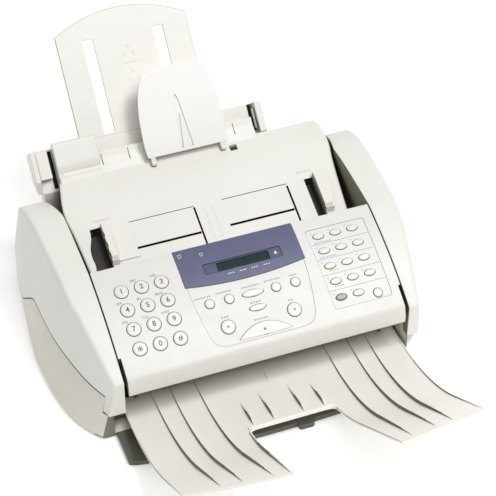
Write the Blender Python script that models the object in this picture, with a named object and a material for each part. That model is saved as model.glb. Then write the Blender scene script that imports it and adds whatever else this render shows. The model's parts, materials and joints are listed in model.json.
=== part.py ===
"""Desktop fax machine with an inkjet printer, built as separate named pieces.

Units are metres, +Z is up, +X is to the right of someone facing the operation panel,
and +Y runs to the back. The machine stands on Z = 0.
Heights and depths below are measured from the machine's own datum, which place() then
shifts by DATUM_Y so that the origin is the centre of the whole footprint.
"""
import math

import bmesh
import bpy
from mathutils import Matrix, Vector

# ---------------------------------------------------------------- driving dimensions
DATUM_Y = -0.0071          # from the machine's datum to the middle of the footprint
GAP = 0.0003               # clearance between touching pieces
WALL = 0.003               # moulded wall thickness

ARC_RADIUS = 0.341         # radius of the operation panel's curved top
ARC_Y = 0.1115
ARC_Z = -0.2093
PANEL_REAR = -0.0286       # arc length from the first key row to the rear edge
PANEL_FRONT = 0.0850       # and to the front edge
PANEL_HALF = 0.1437
PANEL_SKIRT = 0.012
LIP_FRONT = -0.0800
LIP_BOTTOM = 0.0557
GRIP_START = 0.0640        # arc length where the finger grip narrows the panel
GRIP_DEPTH = 0.0026

FIRST_KEY_ANGLE = math.asin(ARC_Y / ARC_RADIUS)
KEY_PITCH = 0.020
KEY_TRAVEL = 0.0015
KEY_RISE = 0.0012
KEY_DEPTH = 0.0075
KEY_CLEARANCE = 0.0004
NUMERIC_X = -0.1212        # column of 1, 4, 7 and star

CHEEK_INNER = 0.1448       # inner wall of the two side covers
SEAM_Z = 0.0510            # parting line between base and side covers
CHEEK_FRONT = -0.0790
CHEEK_LEG_Z = 0.0335       # lower end of the side covers at the front
CHEEK_LEG_Y = -0.0675

FEED_LEAN = math.radians(47.0)
FEED_Y = 0.162             # foot of the sheet feeder's front plane
FEED_Z = 0.131
FEED_HEIGHT = 0.0306
FEED_LEFT = -0.1582
FEED_RIGHT = 0.0890
BACK_DEPTH = 0.0115        # paper surface behind the front plane
RAMP_DEPTH = 0.0190
FRAME_DEPTH = 0.0240
LIP_THICK = 0.003
LIP_HEIGHT = 0.0162

SUPPORT_CENTRE = -0.0332   # paper support
SUPPORT_HALF = 0.0700
SUPPORT_CORNER = 0.1390
SUPPORT_TOP = 0.1580
SUPPORT_BOTTOM = 0.0120
SUPPORT_DEPTH = 0.0130
SUPPORT_THICK = 0.0030

DOC_HINGE = (0.0, 0.1485, 0.1316)
DOC_LEAN = math.radians(55.0)
DOC_CENTRE = -0.0015
DOC_HEIGHT = 0.0970
DOC_THICK = 0.0026

TRAY_HALF = 0.1432
TRAY_REAR = -0.0575
TRAY_REAR_Z = 0.0210
TRAY_THICK = 0.0022
TRAY_FLAT = 0.012
TRAY_RADIUS = 0.205
TRAY_SLOPE = math.radians(36.0)
NOTCH_REAR = -0.1385
NOTCH_HALF_REAR = 0.0431
NOTCH_HALF_FRONT = 0.0499

UPRIGHT_X = 0.1260          # internal side frames that carry the shafts
EXIT_SHAFT = (-0.046, 0.0345)
PICKUP_SHAFT = (0.1360, 0.1040)
CARRIAGE_ROD = (0.062, 0.062)
ROD_RADIUS = 0.004
SHAFT_RADIUS = 0.003
DOC_SHAFT = (0.0160, 0.0900)

# colours are linear RGB, followed by roughness and metallic
MATERIALS = {
    "shell": ((0.80, 0.79, 0.75), 0.45, 0.0),
    "panel": ((0.86, 0.85, 0.82), 0.42, 0.0),
    "base": ((0.74, 0.72, 0.66), 0.50, 0.0),
    "tray": ((0.76, 0.75, 0.71), 0.45, 0.0),
    "white": ((0.90, 0.90, 0.87), 0.40, 0.0),
    "key": ((0.88, 0.87, 0.84), 0.38, 0.0),
    "grey_key": ((0.45, 0.45, 0.46), 0.40, 0.0),
    "display": ((0.15, 0.16, 0.27), 0.35, 0.0),
    "lcd": ((0.03, 0.07, 0.06), 0.12, 0.0),
    "rubber": ((0.05, 0.05, 0.05), 0.85, 0.0),
    "steel": ((0.60, 0.60, 0.62), 0.30, 1.0),
    "dark": ((0.06, 0.06, 0.06), 0.55, 0.0),
    "board": ((0.03, 0.16, 0.07), 0.50, 0.0),
}


# ---------------------------------------------------------------- small helpers
def clear_scene():
    for old in list(bpy.data.objects):
        bpy.data.objects.remove(old, do_unlink=True)


def material(key):
    name = "mat_" + key
    found = bpy.data.materials.get(name)
    if found:
        return found
    colour, roughness, metallic = MATERIALS[key]
    made = bpy.data.materials.new(name)
    made.use_nodes = True
    shader = made.node_tree.nodes["Principled BSDF"]
    shader.inputs["Base Color"].default_value = (*colour, 1.0)
    shader.inputs["Roughness"].default_value = roughness
    shader.inputs["Metallic"].default_value = metallic
    return made


def lerp(a, b, t):
    return a + (b - a) * t


def along(table, at):
    """Straight-line reading of a table of (position, value) pairs in rising order."""
    if at <= table[0][0]:
        return table[0][1]
    for (p0, v0), (p1, v1) in zip(table, table[1:]):
        if at <= p1:
            return lerp(v0, v1, (at - p0) / (p1 - p0))
    return table[-1][1]


def arc_point(v, lift=0.0):
    """(y, z) of a point on the panel's curved top, v metres in front of the first key row."""
    angle = FIRST_KEY_ANGLE + v / ARC_RADIUS
    radius = ARC_RADIUS + lift
    return (ARC_Y - radius * math.sin(angle), ARC_Z + radius * math.cos(angle))


def arc_tilt(v):
    return FIRST_KEY_ANGLE + v / ARC_RADIUS


def feed_point(t, depth=0.0):
    """(y, z) on the sheet feeder: t up its sloping front plane, depth behind it."""
    return (FEED_Y + t * math.cos(FEED_LEAN) + depth * math.sin(FEED_LEAN),
            FEED_Z + t * math.sin(FEED_LEAN) - depth * math.cos(FEED_LEAN))


def solid(name, verts, faces, key):
    """A closed mesh object in datum coordinates, with its faces pointing out."""
    mesh = bpy.data.meshes.new(name)
    work = bmesh.new()
    made = [work.verts.new(v) for v in verts]
    for face in faces:
        work.faces.new([made[i] for i in face])
    bmesh.ops.recalc_face_normals(work, faces=work.faces)
    work.to_mesh(mesh)
    work.free()
    piece = bpy.data.objects.new(name, mesh)
    bpy.context.scene.collection.objects.link(piece)
    if key:
        mesh.materials.append(material(key))
    return piece


def loft(name, rings, key):
    """Skin over a row of closed rings with the same number of points, capped at both ends."""
    count = len(rings[0])
    verts = [point for ring in rings for point in ring]
    faces = []
    for r in range(len(rings) - 1):
        for i in range(count):
            j = (i + 1) % count
            faces.append((r * count + i, r * count + j, (r + 1) * count + j, (r + 1) * count + i))
    faces.append(tuple(range(count)))
    faces.append(tuple((len(rings) - 1) * count + i for i in range(count)))
    return solid(name, verts, faces, key)


def prism_x(name, outline, x0, x1, key=None):
    """An outline of (y, z) points pulled out along X."""
    return loft(name, [[(x0, y, z) for y, z in outline], [(x1, y, z) for y, z in outline]], key)


def box(name, low, high, key=None):
    outline = [(low[1], low[2]), (high[1], low[2]), (high[1], high[2]), (low[1], high[2])]
    return prism_x(name, outline, low[0], high[0], key)


def bar_x(name, centre, stations, sides, key=None):
    """A turned piece along X: centre is (y, z) and stations are (x, radius)."""
    rings = []
    for x, radius in stations:
        ring = []
        for i in range(sides):
            turn = 2.0 * math.pi * i / sides
            ring.append((x, centre[0] + radius * math.cos(turn), centre[1] + radius * math.sin(turn)))
        rings.append(ring)
    return loft(name, rings, key)


def thick_sheet(name, grid_faces, top, bottom, key):
    """A sheet with a top and a bottom point for each place, closed along its free edges."""
    count = len(top)
    faces = [tuple(face) for face in grid_faces]
    uses = {}
    for face in grid_faces:
        for a, b in zip(face, list(face[1:]) + [face[0]]):
            uses.setdefault(tuple(sorted((a, b))), []).append((a, b))
    for face in grid_faces:
        faces.append(tuple(i + count for i in reversed(face)))
    for pairs in uses.values():
        if len(pairs) == 1:
            a, b = pairs[0]
            faces.append((b, a, a + count, b + count))
    return solid(name, list(top) + list(bottom), faces, key)


def arc_sheet(name, low_x, high_x, v_rear, v_front, lifts, columns, rows, key):
    """A plate that follows the panel's curve; v_front is a function of x."""
    top = []
    bottom = []
    for row in range(rows + 1):
        for column in range(columns + 1):
            share = column / columns
            part = row / rows
            x = lerp(low_x, high_x, share)
            v = lerp(v_rear, v_front(x), part)
            for store, lift in ((bottom, lifts[0]), (top, lifts[1])):
                y, z = arc_point(v, lift)
                store.append((x, y, z))
    width = columns + 1
    faces = []
    for row in range(rows):
        for column in range(columns):
            a = row * width + column
            faces.append((a, a + 1, a + width + 1, a + width))
    return thick_sheet(name, faces, top, bottom, key)


def hide_cutter(piece):
    piece.hide_render = True
    piece.display_type = "WIRE"


def join(name, pieces):
    """Several closed cutters as one mesh object; they don't touch each other."""
    work = bmesh.new()
    for piece in pieces:
        piece.data.transform(piece.matrix_world)
        work.from_mesh(piece.data)
        bpy.data.objects.remove(piece, do_unlink=True)
    mesh = bpy.data.meshes.new(name)
    work.to_mesh(mesh)
    work.free()
    joined = bpy.data.objects.new(name, mesh)
    bpy.context.scene.collection.objects.link(joined)
    return joined


def combine(piece, other, operation):
    """Apply one exact Boolean and drop the other mesh."""
    step = piece.modifiers.new(operation.lower(), "BOOLEAN")
    step.operation = operation
    step.solver = "EXACT"
    step.object = other
    bpy.context.view_layer.update()
    graph = bpy.context.evaluated_depsgraph_get()
    result = bpy.data.meshes.new_from_object(piece.evaluated_get(graph))
    piece.modifiers.clear()
    old = piece.data
    piece.data = result
    bpy.data.meshes.remove(old)
    bpy.data.objects.remove(other, do_unlink=True)
    return piece


def cut(piece, *cutters):
    for cutter in cutters:
        hide_cutter(cutter)
        combine(piece, cutter, "DIFFERENCE")
    return piece


def fuse(piece, *others):
    for other in others:
        combine(piece, other, "UNION")
    return piece


def place(piece, pivot=(0.0, 0.0, 0.0)):
    """Put the object's origin on its joint axis and shift it to the footprint's middle."""
    work = bmesh.new()
    work.from_mesh(piece.data)
    bmesh.ops.remove_doubles(work, verts=work.verts, dist=0.000004)
    bmesh.ops.dissolve_degenerate(work, edges=work.edges, dist=0.000004)
    work.to_mesh(piece.data)
    work.free()
    piece.data.transform(Matrix.Translation(-Vector(pivot)))
    piece.location = Vector(pivot) + Vector((0.0, DATUM_Y, 0.0))
    piece.data.shade_smooth()
    piece.data.set_sharp_from_angle(angle=math.radians(32.0))
    return piece


# ---------------------------------------------------------------- base
SEAM_PLAN = [(-0.0755, 0.1580), (-0.0460, 0.1706), (-0.0085, 0.1803), (0.0300, 0.1867),
             (0.0820, 0.1896), (0.1230, 0.1915), (0.1690, 0.1860)]
BOTTOM_PLAN = [(-0.0755, 0.1695), (-0.0490, 0.1860), (-0.0200, 0.1950), (0.0150, 0.1998),
               (0.0540, 0.2010), (0.1080, 0.1955), (0.1780, 0.1870)]
BOTTOM_RIGHT = [(-0.0755, 0.1580), (-0.0490, 0.1720), (-0.0200, 0.1850), (0.0150, 0.1950),
                (0.0540, 0.2010), (0.1080, 0.1955), (0.1780, 0.1870)]


def plan_half(plan, z, inset, front):
    points = []
    for index, (y, half) in enumerate(plan):
        if index == 0:
            y = y + inset if front is None else front
        if index == len(plan) - 1:
            y = y - inset
        points.append((half - inset, y, z))
    return points


def plan_ring(left, right, z, inset=0.0, front=None):
    """Closed ring at height z from the left and right halves of a plan, moved inwards by inset."""
    mirrored = [(-x, y, zz) for x, y, zz in reversed(plan_half(left, z, inset, front))]
    return plan_half(right, z, inset, front) + mirrored


def make_base():
    left_foot = [(y, half - 0.004) for y, half in BOTTOM_PLAN]
    right_foot = [(y, half - 0.004) for y, half in BOTTOM_RIGHT]
    rings = [plan_ring(left_foot, right_foot, 0.0), plan_ring(BOTTOM_PLAN, BOTTOM_RIGHT, 0.005),
             plan_ring(SEAM_PLAN, SEAM_PLAN, SEAM_Z)]
    base = loft("base_case", rings, "base")
    extension_front = [(0.155 * math.cos(math.pi * i / 10), -0.113 - 0.012 * math.sin(math.pi * i / 10))
                       for i in range(11)]
    plate = [(0.155, -0.060)] + extension_front + [(-0.155, -0.060)]
    extension = loft("extension", [[(x, y, z) for x, y in plate] for z in (0.0, 0.007)], None)
    fuse(base, extension)
    inner = [plan_ring(BOTTOM_PLAN, BOTTOM_RIGHT, 0.006, 0.0035, -0.0565),
             plan_ring(SEAM_PLAN, SEAM_PLAN, SEAM_Z, 0.0035, -0.0565),
             plan_ring(SEAM_PLAN, SEAM_PLAN, 0.070, 0.0035, -0.0565)]
    cut(base, loft("cavity", inner, None))
    cut(base, box("paper_mouth", (-0.1565, -0.100, 0.0071), (0.1565, -0.0600, 0.080)))
    cut(base, box("tray_ledge", (-0.1450, -0.0620, 0.0184), (0.1450, -0.0500, 0.080)))
    for side in (-1, 1):
        edge = sorted((side * 0.150, side * 0.200))
        cut(base, box("leg_step", (edge[0], -0.090, CHEEK_LEG_Z - GAP), (edge[1], CHEEK_LEG_Y, 0.060)))
    for side in (-1, 1):
        fuse(base, upright(side))
    cut(base, box("jack_opening", (0.0900, 0.150, 0.0100), (0.1500, 0.190, 0.0450)))
    return place(base)


def upright(side):
    """Inner side frame with holes for the three shafts and the carriage rod."""
    profile = [(-0.0520, 0.0040), (0.1480, 0.0040), (0.1480, 0.1100), (0.1240, 0.1100),
               (0.1100, 0.0780), (0.0350, 0.0780), (0.0100, 0.0640), (-0.0520, 0.0480)]
    edge = sorted((side * UPRIGHT_X, side * (UPRIGHT_X + WALL)))
    frame = prism_x("upright", profile, edge[0], edge[1])
    reach = [(edge[0] - 0.01, 1.0), (edge[1] + 0.01, 1.0)]
    for centre, radius in ((EXIT_SHAFT, SHAFT_RADIUS), (PICKUP_SHAFT, SHAFT_RADIUS),
                           (CARRIAGE_ROD, ROD_RADIUS)):
        hole = [(x, radius + GAP) for x, _ in reach]
        cut(frame, bar_x("shaft_hole", centre, hole, 12))
    return frame


# ---------------------------------------------------------------- side covers
RIM_PLAN = [(-0.0790, 0.1560), (-0.0520, 0.1613), (-0.0150, 0.1680), (0.0050, 0.1720),
            (0.0590, 0.1755), (0.1190, 0.1780), (0.1585, 0.1805)]
CHEEK_TOP = [(0.0270, 0.1210), (0.0600, 0.1228), (0.0980, 0.1238), (0.1190, 0.1222),
             (0.1370, 0.1180), (0.1585, 0.1085)]
CHEEK_STATIONS = (-0.0790, -0.0640, -0.0450, -0.0250, -0.0050, 0.0150, 0.0400, 0.0700,
                  0.0980, 0.1190, 0.1370, 0.1585)


def cheek_top(y):
    """Height of the side covers: the panel's arc in front, nearly level behind it."""
    if y < CHEEK_TOP[0][0]:
        return ARC_Z + math.sqrt(ARC_RADIUS ** 2 - (y - ARC_Y) ** 2)
    return along(CHEEK_TOP, y)


def cheek_inner(y):
    return along([(0.115, CHEEK_INNER), (0.1585, 0.1530)], y)


def cheek_ring(y, side, inset=0.0, low=CHEEK_LEG_Z):
    """Cross-section of a side cover at depth y: flat rim on top, flank leaning outwards."""
    top = cheek_top(y) - inset
    inner = cheek_inner(y) + inset
    rim = along(RIM_PLAN, y) - inset
    seam = along(SEAM_PLAN, y) - inset if y > -0.070 else rim + 0.0016
    seam = max(seam, rim + 0.0016)
    share = (top - low) / (top - SEAM_Z) if y > -0.070 else 1.0
    flank = rim + (seam - rim) * share
    points = [(inner, low), (inner, top), (rim - 0.002, top), (rim, top - 0.002), (flank, low)]
    back = 0.0
    ring = []
    for x, z in points:
        if y > 0.158:
            back = (0.1085 - z) * 0.184
        ring.append((side * x, y + back, z))
    return ring


def make_side_cover(name, side):
    cover = loft(name, [cheek_ring(y, side) for y in CHEEK_STATIONS], "shell")
    stations = (-0.0760,) + CHEEK_STATIONS[1:-1] + (0.1550,)
    hollow = [cheek_ring(y, side, 0.0028, 0.020) for y in stations]
    cut(cover, loft("hollow", hollow, None))
    edge = sorted((side * 0.140, side * 0.210))
    cut(cover, box("seam", (edge[0], CHEEK_LEG_Y - GAP, 0.0), (edge[1], 0.200, SEAM_Z + GAP)))
    return place(cover)


# ---------------------------------------------------------------- top cover
COVER_TOP = [(-0.0700, 0.0600), (-0.0300, 0.0665), (0.0200, 0.0790), (0.0440, 0.0880),
             (0.0690, 0.0980), (0.0970, 0.1090), (0.1150, 0.1170), (0.1300, 0.1230),
             (0.1450, 0.1275), (0.1605, 0.1305)]
COVER_HALF = [(0.0200, 0.1350), (0.0440, 0.1355), (0.0690, 0.1375), (0.0970, 0.1405),
              (0.1150, 0.1435), (0.1300, 0.1420), (0.1450, 0.1390), (0.1605, 0.1360)]
COVER_SKIRT = [(0.0200, 0.006), (0.0440, 0.0100), (0.0690, 0.0180), (0.0970, 0.0280), (0.1605, 0.0500)]
GUIDE_WALL = (0.1085, 0.1165)
GUIDE_PLATE = 0.0870
GUIDE_FRONT = 0.0450
GUIDE_REAR = 0.0972


def cover_ring(y, inset=0.0, drop=0.0):
    top = along(COVER_TOP, y) - inset
    half = along(COVER_HALF, y) - inset
    low = along(COVER_TOP, y) - along(COVER_SKIRT, y) - drop
    ease = 0.002
    return [(-half, y, low), (-half, y, top - ease), (-half + ease, y, top),
            (half - ease, y, top), (half, y, top - ease), (half, y, low)]


def cover_strip(name, x0, x1, y0, y1, low, high):
    """A cutter or bar that follows the cover's slope between two depths."""
    inner = [y for y, _ in COVER_TOP if y0 < y < y1]
    depths = [y0] + inner + [y1]
    outline = [(y, along(COVER_TOP, y) + low) for y in depths]
    outline += [(y, along(COVER_TOP, y) + high) for y in reversed(depths)]
    return prism_x(name, outline, x0, x1)


def make_top_cover():
    depths = [y for y, _ in COVER_TOP]
    cover = loft("top_cover", [cover_ring(y) for y in depths], "shell")
    hollow = [-0.0670] + depths[1:-1] + [0.1575]
    cut(cover, loft("hollow", [cover_ring(y, WALL, 0.02) for y in hollow], None))
    cut(cover, box("paper_window", (-0.1330, 0.1560, 0.060), (0.0893, 0.170, 0.1272)))
    lip = [feed_point(-0.004, 0.0), feed_point(LIP_HEIGHT, 0.0), feed_point(LIP_HEIGHT, LIP_THICK),
           feed_point(-0.001, LIP_THICK)]
    fuse(cover, prism_x("rear_lip", lip, -0.1300, 0.0745))
    fuse(cover, make_shoulder())
    for side in (-1, 1):
        edge = sorted((side * 0.1335, side * 0.1390))
        fuse(cover, box("ear", (edge[0], 0.0100, 0.0700), (edge[1], 0.0220, 0.1120)))
        bearing = [(edge[0] - 0.002, SHAFT_RADIUS + GAP), (edge[1] + 0.002, SHAFT_RADIUS + GAP)]
        cut(cover, bar_x("bearing", DOC_SHAFT, bearing, 12))
    cut(cover, join("cutters", cover_cutters()))
    return place(cover, COVER_HINGE)


def make_shoulder():
    """Raised rounded block over the left end of the paper slot."""
    crown = [(0.0345, -0.0010), (0.0330, -0.0036), (0.0290, -0.0050)]
    section = [(-0.005, 0.0035), (0.0345, 0.0035)] + crown + [(0.0060, -0.0050), (-0.0030, -0.0006)]
    outline = [feed_point(t, depth) for t, depth in section]
    return prism_x("shoulder", outline, -0.1353, -0.0905)


def cover_cutters():
    pocket = cover_strip("finger_pocket", -0.1310, -0.1172, 0.0400, 0.0980, -0.008, 0.02)
    slot = cover_strip("guide_slot", 0.0940, 0.1070, 0.0420, 0.0960, -0.008, 0.02)
    feed_left = cover_strip("feed_slot", -0.0860, -0.0180, 0.0683, 0.0700, -0.008, -0.0010)
    feed_right = cover_strip("feed_slot", 0.0180, 0.0830, 0.0683, 0.0700, -0.008, -0.0010)
    return [pocket, slot, feed_left, feed_right]


COVER_HINGE = (0.0, -0.0660, 0.0580)


def make_guide(name, side):
    """Document guide: a low fence on the cover with a thin foot that reaches inwards."""
    wall = sorted((side * GUIDE_WALL[0], side * GUIDE_WALL[1]))
    guide = cover_strip(name, wall[0], wall[1], GUIDE_FRONT, GUIDE_REAR, GAP, 0.009)
    foot_reach = sorted((side * GUIDE_PLATE, side * (GUIDE_WALL[1] - 0.001)))
    foot = cover_strip("foot", foot_reach[0], foot_reach[1], 0.0600, 0.0965, GAP, 0.0015)
    fuse(guide, foot)
    if side > 0:
        cut(guide, cover_strip("window", 0.0942, 0.1068, 0.0500, 0.0930, -0.01, 0.0080))
    guide.data.materials.clear()
    guide.data.materials.append(material("shell"))
    return place(guide, (side * GUIDE_WALL[0], 0.0720, 0.1000))


# ---------------------------------------------------------------- operation panel
def oval(half_x, half_y, sides):
    return [(half_x * math.cos(2 * math.pi * i / sides), half_y * math.sin(2 * math.pi * i / sides))
            for i in range(sides)]


def lens(half_x, rise, sag, sides):
    """Start key: pointed ends, a high arc behind and a shallow one in front."""
    half = sides // 2
    points = []
    for i in range(half + 1):
        x = lerp(half_x, -half_x, i / half)
        points.append((x, rise * (1.0 - (x / half_x) ** 2)))
    for i in range(1, half):
        x = lerp(-half_x, half_x, i / half)
        points.append((x, -sag * (1.0 - (x / half_x) ** 2)))
    return points


def key_table():
    """name, x, v, outline and material of every key."""
    rows = []
    names = ["1", "2", "3", "4", "5", "6", "7", "8", "9", "star", "0", "hash"]
    for index, name in enumerate(names):
        x = NUMERIC_X + KEY_PITCH * (index % 3)
        rows.append(("key_" + name, x, KEY_PITCH * (index // 3), oval(0.0067, 0.0067, 20), "key"))
    small = (("key_receive_mode", -0.0438), ("key_memory", -0.0240), ("key_redial", 0.0238),
             ("key_pause", 0.0438))
    for name, x in small:
        rows.append((name, x, 0.0346, oval(0.0046, 0.0046, 16), "key"))
    rows.append(("key_function", 0.0, 0.0346, oval(0.0108, 0.0034, 20), "key"))
    rows.append(("key_resolution", 0.0, 0.0498, oval(0.0084, 0.0030, 20), "key"))
    rows.append(("key_copy", -0.0337, 0.0612, oval(0.0068, 0.0068, 20), "key"))
    rows.append(("key_stop", 0.0337, 0.0612, oval(0.0068, 0.0068, 20), "key"))
    rows.append(("key_start", 0.0, 0.0765, lens(0.0266, 0.0118, 0.0006, 20), "key"))
    for index in range(14):
        row = index // 3
        x = 0.0827 + 0.0179 * (index % 3)
        kind = "grey_key" if index == 12 else "key"
        name = "one_touch_%02d" % (index + 1)
        rows.append((name, x, -0.0061 + 0.0168 * row, oval(0.0056, 0.0031, 16), kind))
    rows.append(("key_speaker", 0.1193, 0.0660, oval(0.0044, 0.0044, 16), "key"))
    return rows


def key_prism(name, outline, spread, low, high, key):
    """An outline pulled out along the local normal, with the top edge eased."""
    def ring(z, grow):
        made = []
        for x, y in outline:
            reach = math.hypot(x, y)
            share = (reach + grow) / reach if reach > 1e-9 else 1.0
            made.append((x * share, y * share, z))
        return made
    if key:
        rings = [ring(low, spread), ring(high - 0.0004, spread), ring(high, spread - 0.0005)]
    else:
        rings = [ring(low, spread), ring(high, spread)]
    return loft(name, rings, key)


def stand_on_arc(piece, x, v):
    y, z = arc_point(v)
    piece.location = (x, y, z)
    piece.rotation_euler = (arc_tilt(v), 0.0, 0.0)
    bpy.context.view_layer.update()
    return piece


def plate_front(x):
    """Front edge of the display plate, bowed towards the user."""
    return 0.0130 + 0.0050 * (1.0 - (x / 0.0612) ** 2)


def make_panel():
    """Curved top plate with a deep front lip, holes for every key and a pocket for the display."""
    steps = 12
    top = [arc_point(lerp(PANEL_REAR, PANEL_FRONT, i / steps)) for i in range(steps + 1)]
    lip = [(LIP_FRONT + 0.0010, 0.0722), (LIP_FRONT + 0.0002, 0.0690), (LIP_FRONT, LIP_BOTTOM),
           (LIP_FRONT + 0.0042, LIP_BOTTOM), (LIP_FRONT + 0.0050, 0.0640)]
    under = [arc_point(lerp(0.0740, PANEL_REAR, i / steps), -PANEL_SKIRT) for i in range(steps + 1)]
    panel = prism_x("operation_panel", top + lip + under, -PANEL_HALF, PANEL_HALF, "panel")
    roof = [arc_point(lerp(PANEL_REAR + WALL, 0.0800, i / steps), -WALL) for i in range(steps + 1)]
    floor = [arc_point(lerp(0.0740, PANEL_REAR + WALL, i / steps), -0.03) for i in range(steps + 1)]
    cut(panel, prism_x("hollow", roof + floor, -PANEL_HALF + WALL, PANEL_HALF - WALL))
    holes = []
    for name, x, v, outline, _ in key_table():
        hole = key_prism("hole_" + name, outline, KEY_CLEARANCE, -0.006, 0.006, None)
        holes.append(stand_on_arc(hole, x, v))
    cut(panel, join("key_holes", holes))
    pocket = arc_sheet("pocket", -0.0618, 0.0618, PANEL_REAR - 0.004,
                       lambda x: plate_front(x) + GAP, (-0.0011, 0.006), 8, 5, None)
    cut(panel, pocket)
    opening = arc_sheet("lcd_opening", -0.0385, 0.0418, -0.0070, lambda x: 0.0055, (-0.008, 0.006), 1, 1, None)
    cut(panel, opening)
    for side in (-1, 1):
        edge = sorted((side * (PANEL_HALF - GRIP_DEPTH), side * (PANEL_HALF + 0.01)))
        grip = [arc_point(GRIP_START, 0.01), arc_point(PANEL_FRONT + 0.02, 0.02), (-0.0900, 0.040),
                arc_point(GRIP_START, -0.04)]
        cut(panel, prism_x("grip", grip, edge[0], edge[1]))
    return place(panel, PANEL_HINGE)


PANEL_HINGE = (0.0, 0.0160, 0.1060)


def make_key(name, x, v, outline, key):
    cap = key_prism(name, outline, 0.0, -KEY_DEPTH, KEY_RISE, key)
    y, z = arc_point(v)
    cap.rotation_euler = (arc_tilt(v), 0.0, 0.0)
    cap.location = (x, y + DATUM_Y, z)
    cap.data.shade_smooth()
    cap.data.set_sharp_from_angle(angle=math.radians(32.0))
    return cap


def make_display_plate():
    plate = arc_sheet("display_plate", -0.0615, 0.0615, PANEL_REAR + GAP, plate_front,
                      (-0.0008, 0.0005), 8, 5, "display")
    window = arc_sheet("window", -0.0380, 0.0413, -0.0063, lambda x: 0.0048, (-0.004, 0.004), 1, 1, None)
    cut(plate, window)
    return place(plate)


def make_lcd():
    module = arc_sheet("lcd_module", -0.0377, 0.0410, -0.0060, lambda x: 0.0045, (-0.0085, -0.0001),
                       1, 1, "lcd")
    return place(module)


def make_key_mat():
    mat = arc_sheet("key_mat", -0.1325, 0.1325, -0.0150, lambda x: 0.0720, (-0.0115, -0.0095), 2, 8, "rubber")
    opening = arc_sheet("opening", -0.0400, 0.0440, -0.0090, lambda x: 0.0080, (-0.02, 0.0), 1, 1, None)
    cut(mat, opening)
    return place(mat)


# ---------------------------------------------------------------- sheet feeder
def make_sheet_feeder():
    """Leaning paper shelf behind the cover, with side frames and the machine's rear wall."""
    section = [feed_point(FEED_HEIGHT, 0.0), feed_point(FEED_HEIGHT, FRAME_DEPTH),
               (0.1800, 0.1150), (0.1612, 0.1150), feed_point(-0.0010, 0.0)]
    feeder = prism_x("sheet_feeder", section, FEED_LEFT, FEED_RIGHT, "shell")
    fuse(feeder, box("rear_wall", (-0.1515, 0.1617, 0.0520), (0.1515, 0.1786, 0.1200)))
    ramp = [feed_point(-0.0500, BACK_DEPTH - 0.001), feed_point(0.0020, BACK_DEPTH - 0.001),
            feed_point(0.0020, RAMP_DEPTH), feed_point(-0.0500, RAMP_DEPTH)]
    fuse(feeder, prism_x("ramp", ramp, -0.1255, 0.0735))
    channel = [feed_point(0.0500, -0.02), feed_point(0.0500, BACK_DEPTH), feed_point(-0.0600, BACK_DEPTH),
               feed_point(-0.0600, -0.02)]
    cut(feeder, prism_x("channel", channel, -0.1534, 0.0817))
    slot = [feed_point(0.0500, SUPPORT_DEPTH - GAP), feed_point(0.0500, SUPPORT_DEPTH + SUPPORT_THICK + GAP),
            feed_point(-0.0600, SUPPORT_DEPTH + SUPPORT_THICK + GAP), feed_point(-0.0600, SUPPORT_DEPTH - GAP)]
    cut(feeder, prism_x("support_slot", slot, SUPPORT_CENTRE - SUPPORT_HALF - 0.0005,
                        SUPPORT_CENTRE + SUPPORT_HALF + 0.0005))
    groove = [feed_point(0.0015, 0.0050), feed_point(0.0500, 0.0050), feed_point(0.0500, 0.0190),
              feed_point(0.0015, 0.0190)]
    cut(feeder, prism_x("side_groove", groove, 0.0760, 0.0812))
    return place(feeder)


def make_paper_support():
    """Arched plate with two long slots that stands in the sheet feeder."""
    rise = SUPPORT_TOP - SUPPORT_CORNER
    crown = []
    for i in range(13):
        x = lerp(SUPPORT_HALF, -SUPPORT_HALF, i / 12)
        crown.append((SUPPORT_CENTRE + x, SUPPORT_CORNER + rise * (1.0 - (x / SUPPORT_HALF) ** 2)))
    outline = [(SUPPORT_CENTRE - SUPPORT_HALF, SUPPORT_BOTTOM), (SUPPORT_CENTRE + SUPPORT_HALF, SUPPORT_BOTTOM)]
    outline += crown
    rings = []
    for depth in (SUPPORT_DEPTH, SUPPORT_DEPTH + SUPPORT_THICK):
        rings.append([(x, *feed_point(t, depth)) for x, t in outline])
    plate = loft("paper_support", rings, "shell")
    for side in (-1, 1):
        middle = SUPPORT_CENTRE + side * 0.0375
        slot = [feed_point(0.0330, 0.0), feed_point(0.1305, 0.0), feed_point(0.1305, 0.03),
                feed_point(0.0330, 0.03)]
        cut(plate, prism_x("slot", slot, middle - 0.0057, middle + 0.0057))
    return place(plate, (SUPPORT_CENTRE, *feed_point(FEED_HEIGHT, SUPPORT_DEPTH)))


def make_paper_guide():
    """Left paper guide, which slides along the shelf behind the shoulder."""
    section = [feed_point(0.0005, 0.0046), feed_point(0.0300, 0.0046), feed_point(0.0300, BACK_DEPTH - GAP),
               feed_point(0.0005, BACK_DEPTH - GAP)]
    guide = prism_x("paper_guide", section, -0.1530, -0.1400, "shell")
    return place(guide, (-0.1400, *feed_point(0.015, BACK_DEPTH)))


def document_half(t):
    """Half width of the document support at height t."""
    return along([(0.0, 0.0410), (0.015, 0.0435), (0.045, 0.0430), (0.067, 0.0400), (0.083, 0.0345),
                  (0.092, 0.0300), (0.0955, 0.0230), (DOC_HEIGHT, 0.0100)], t)


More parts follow.
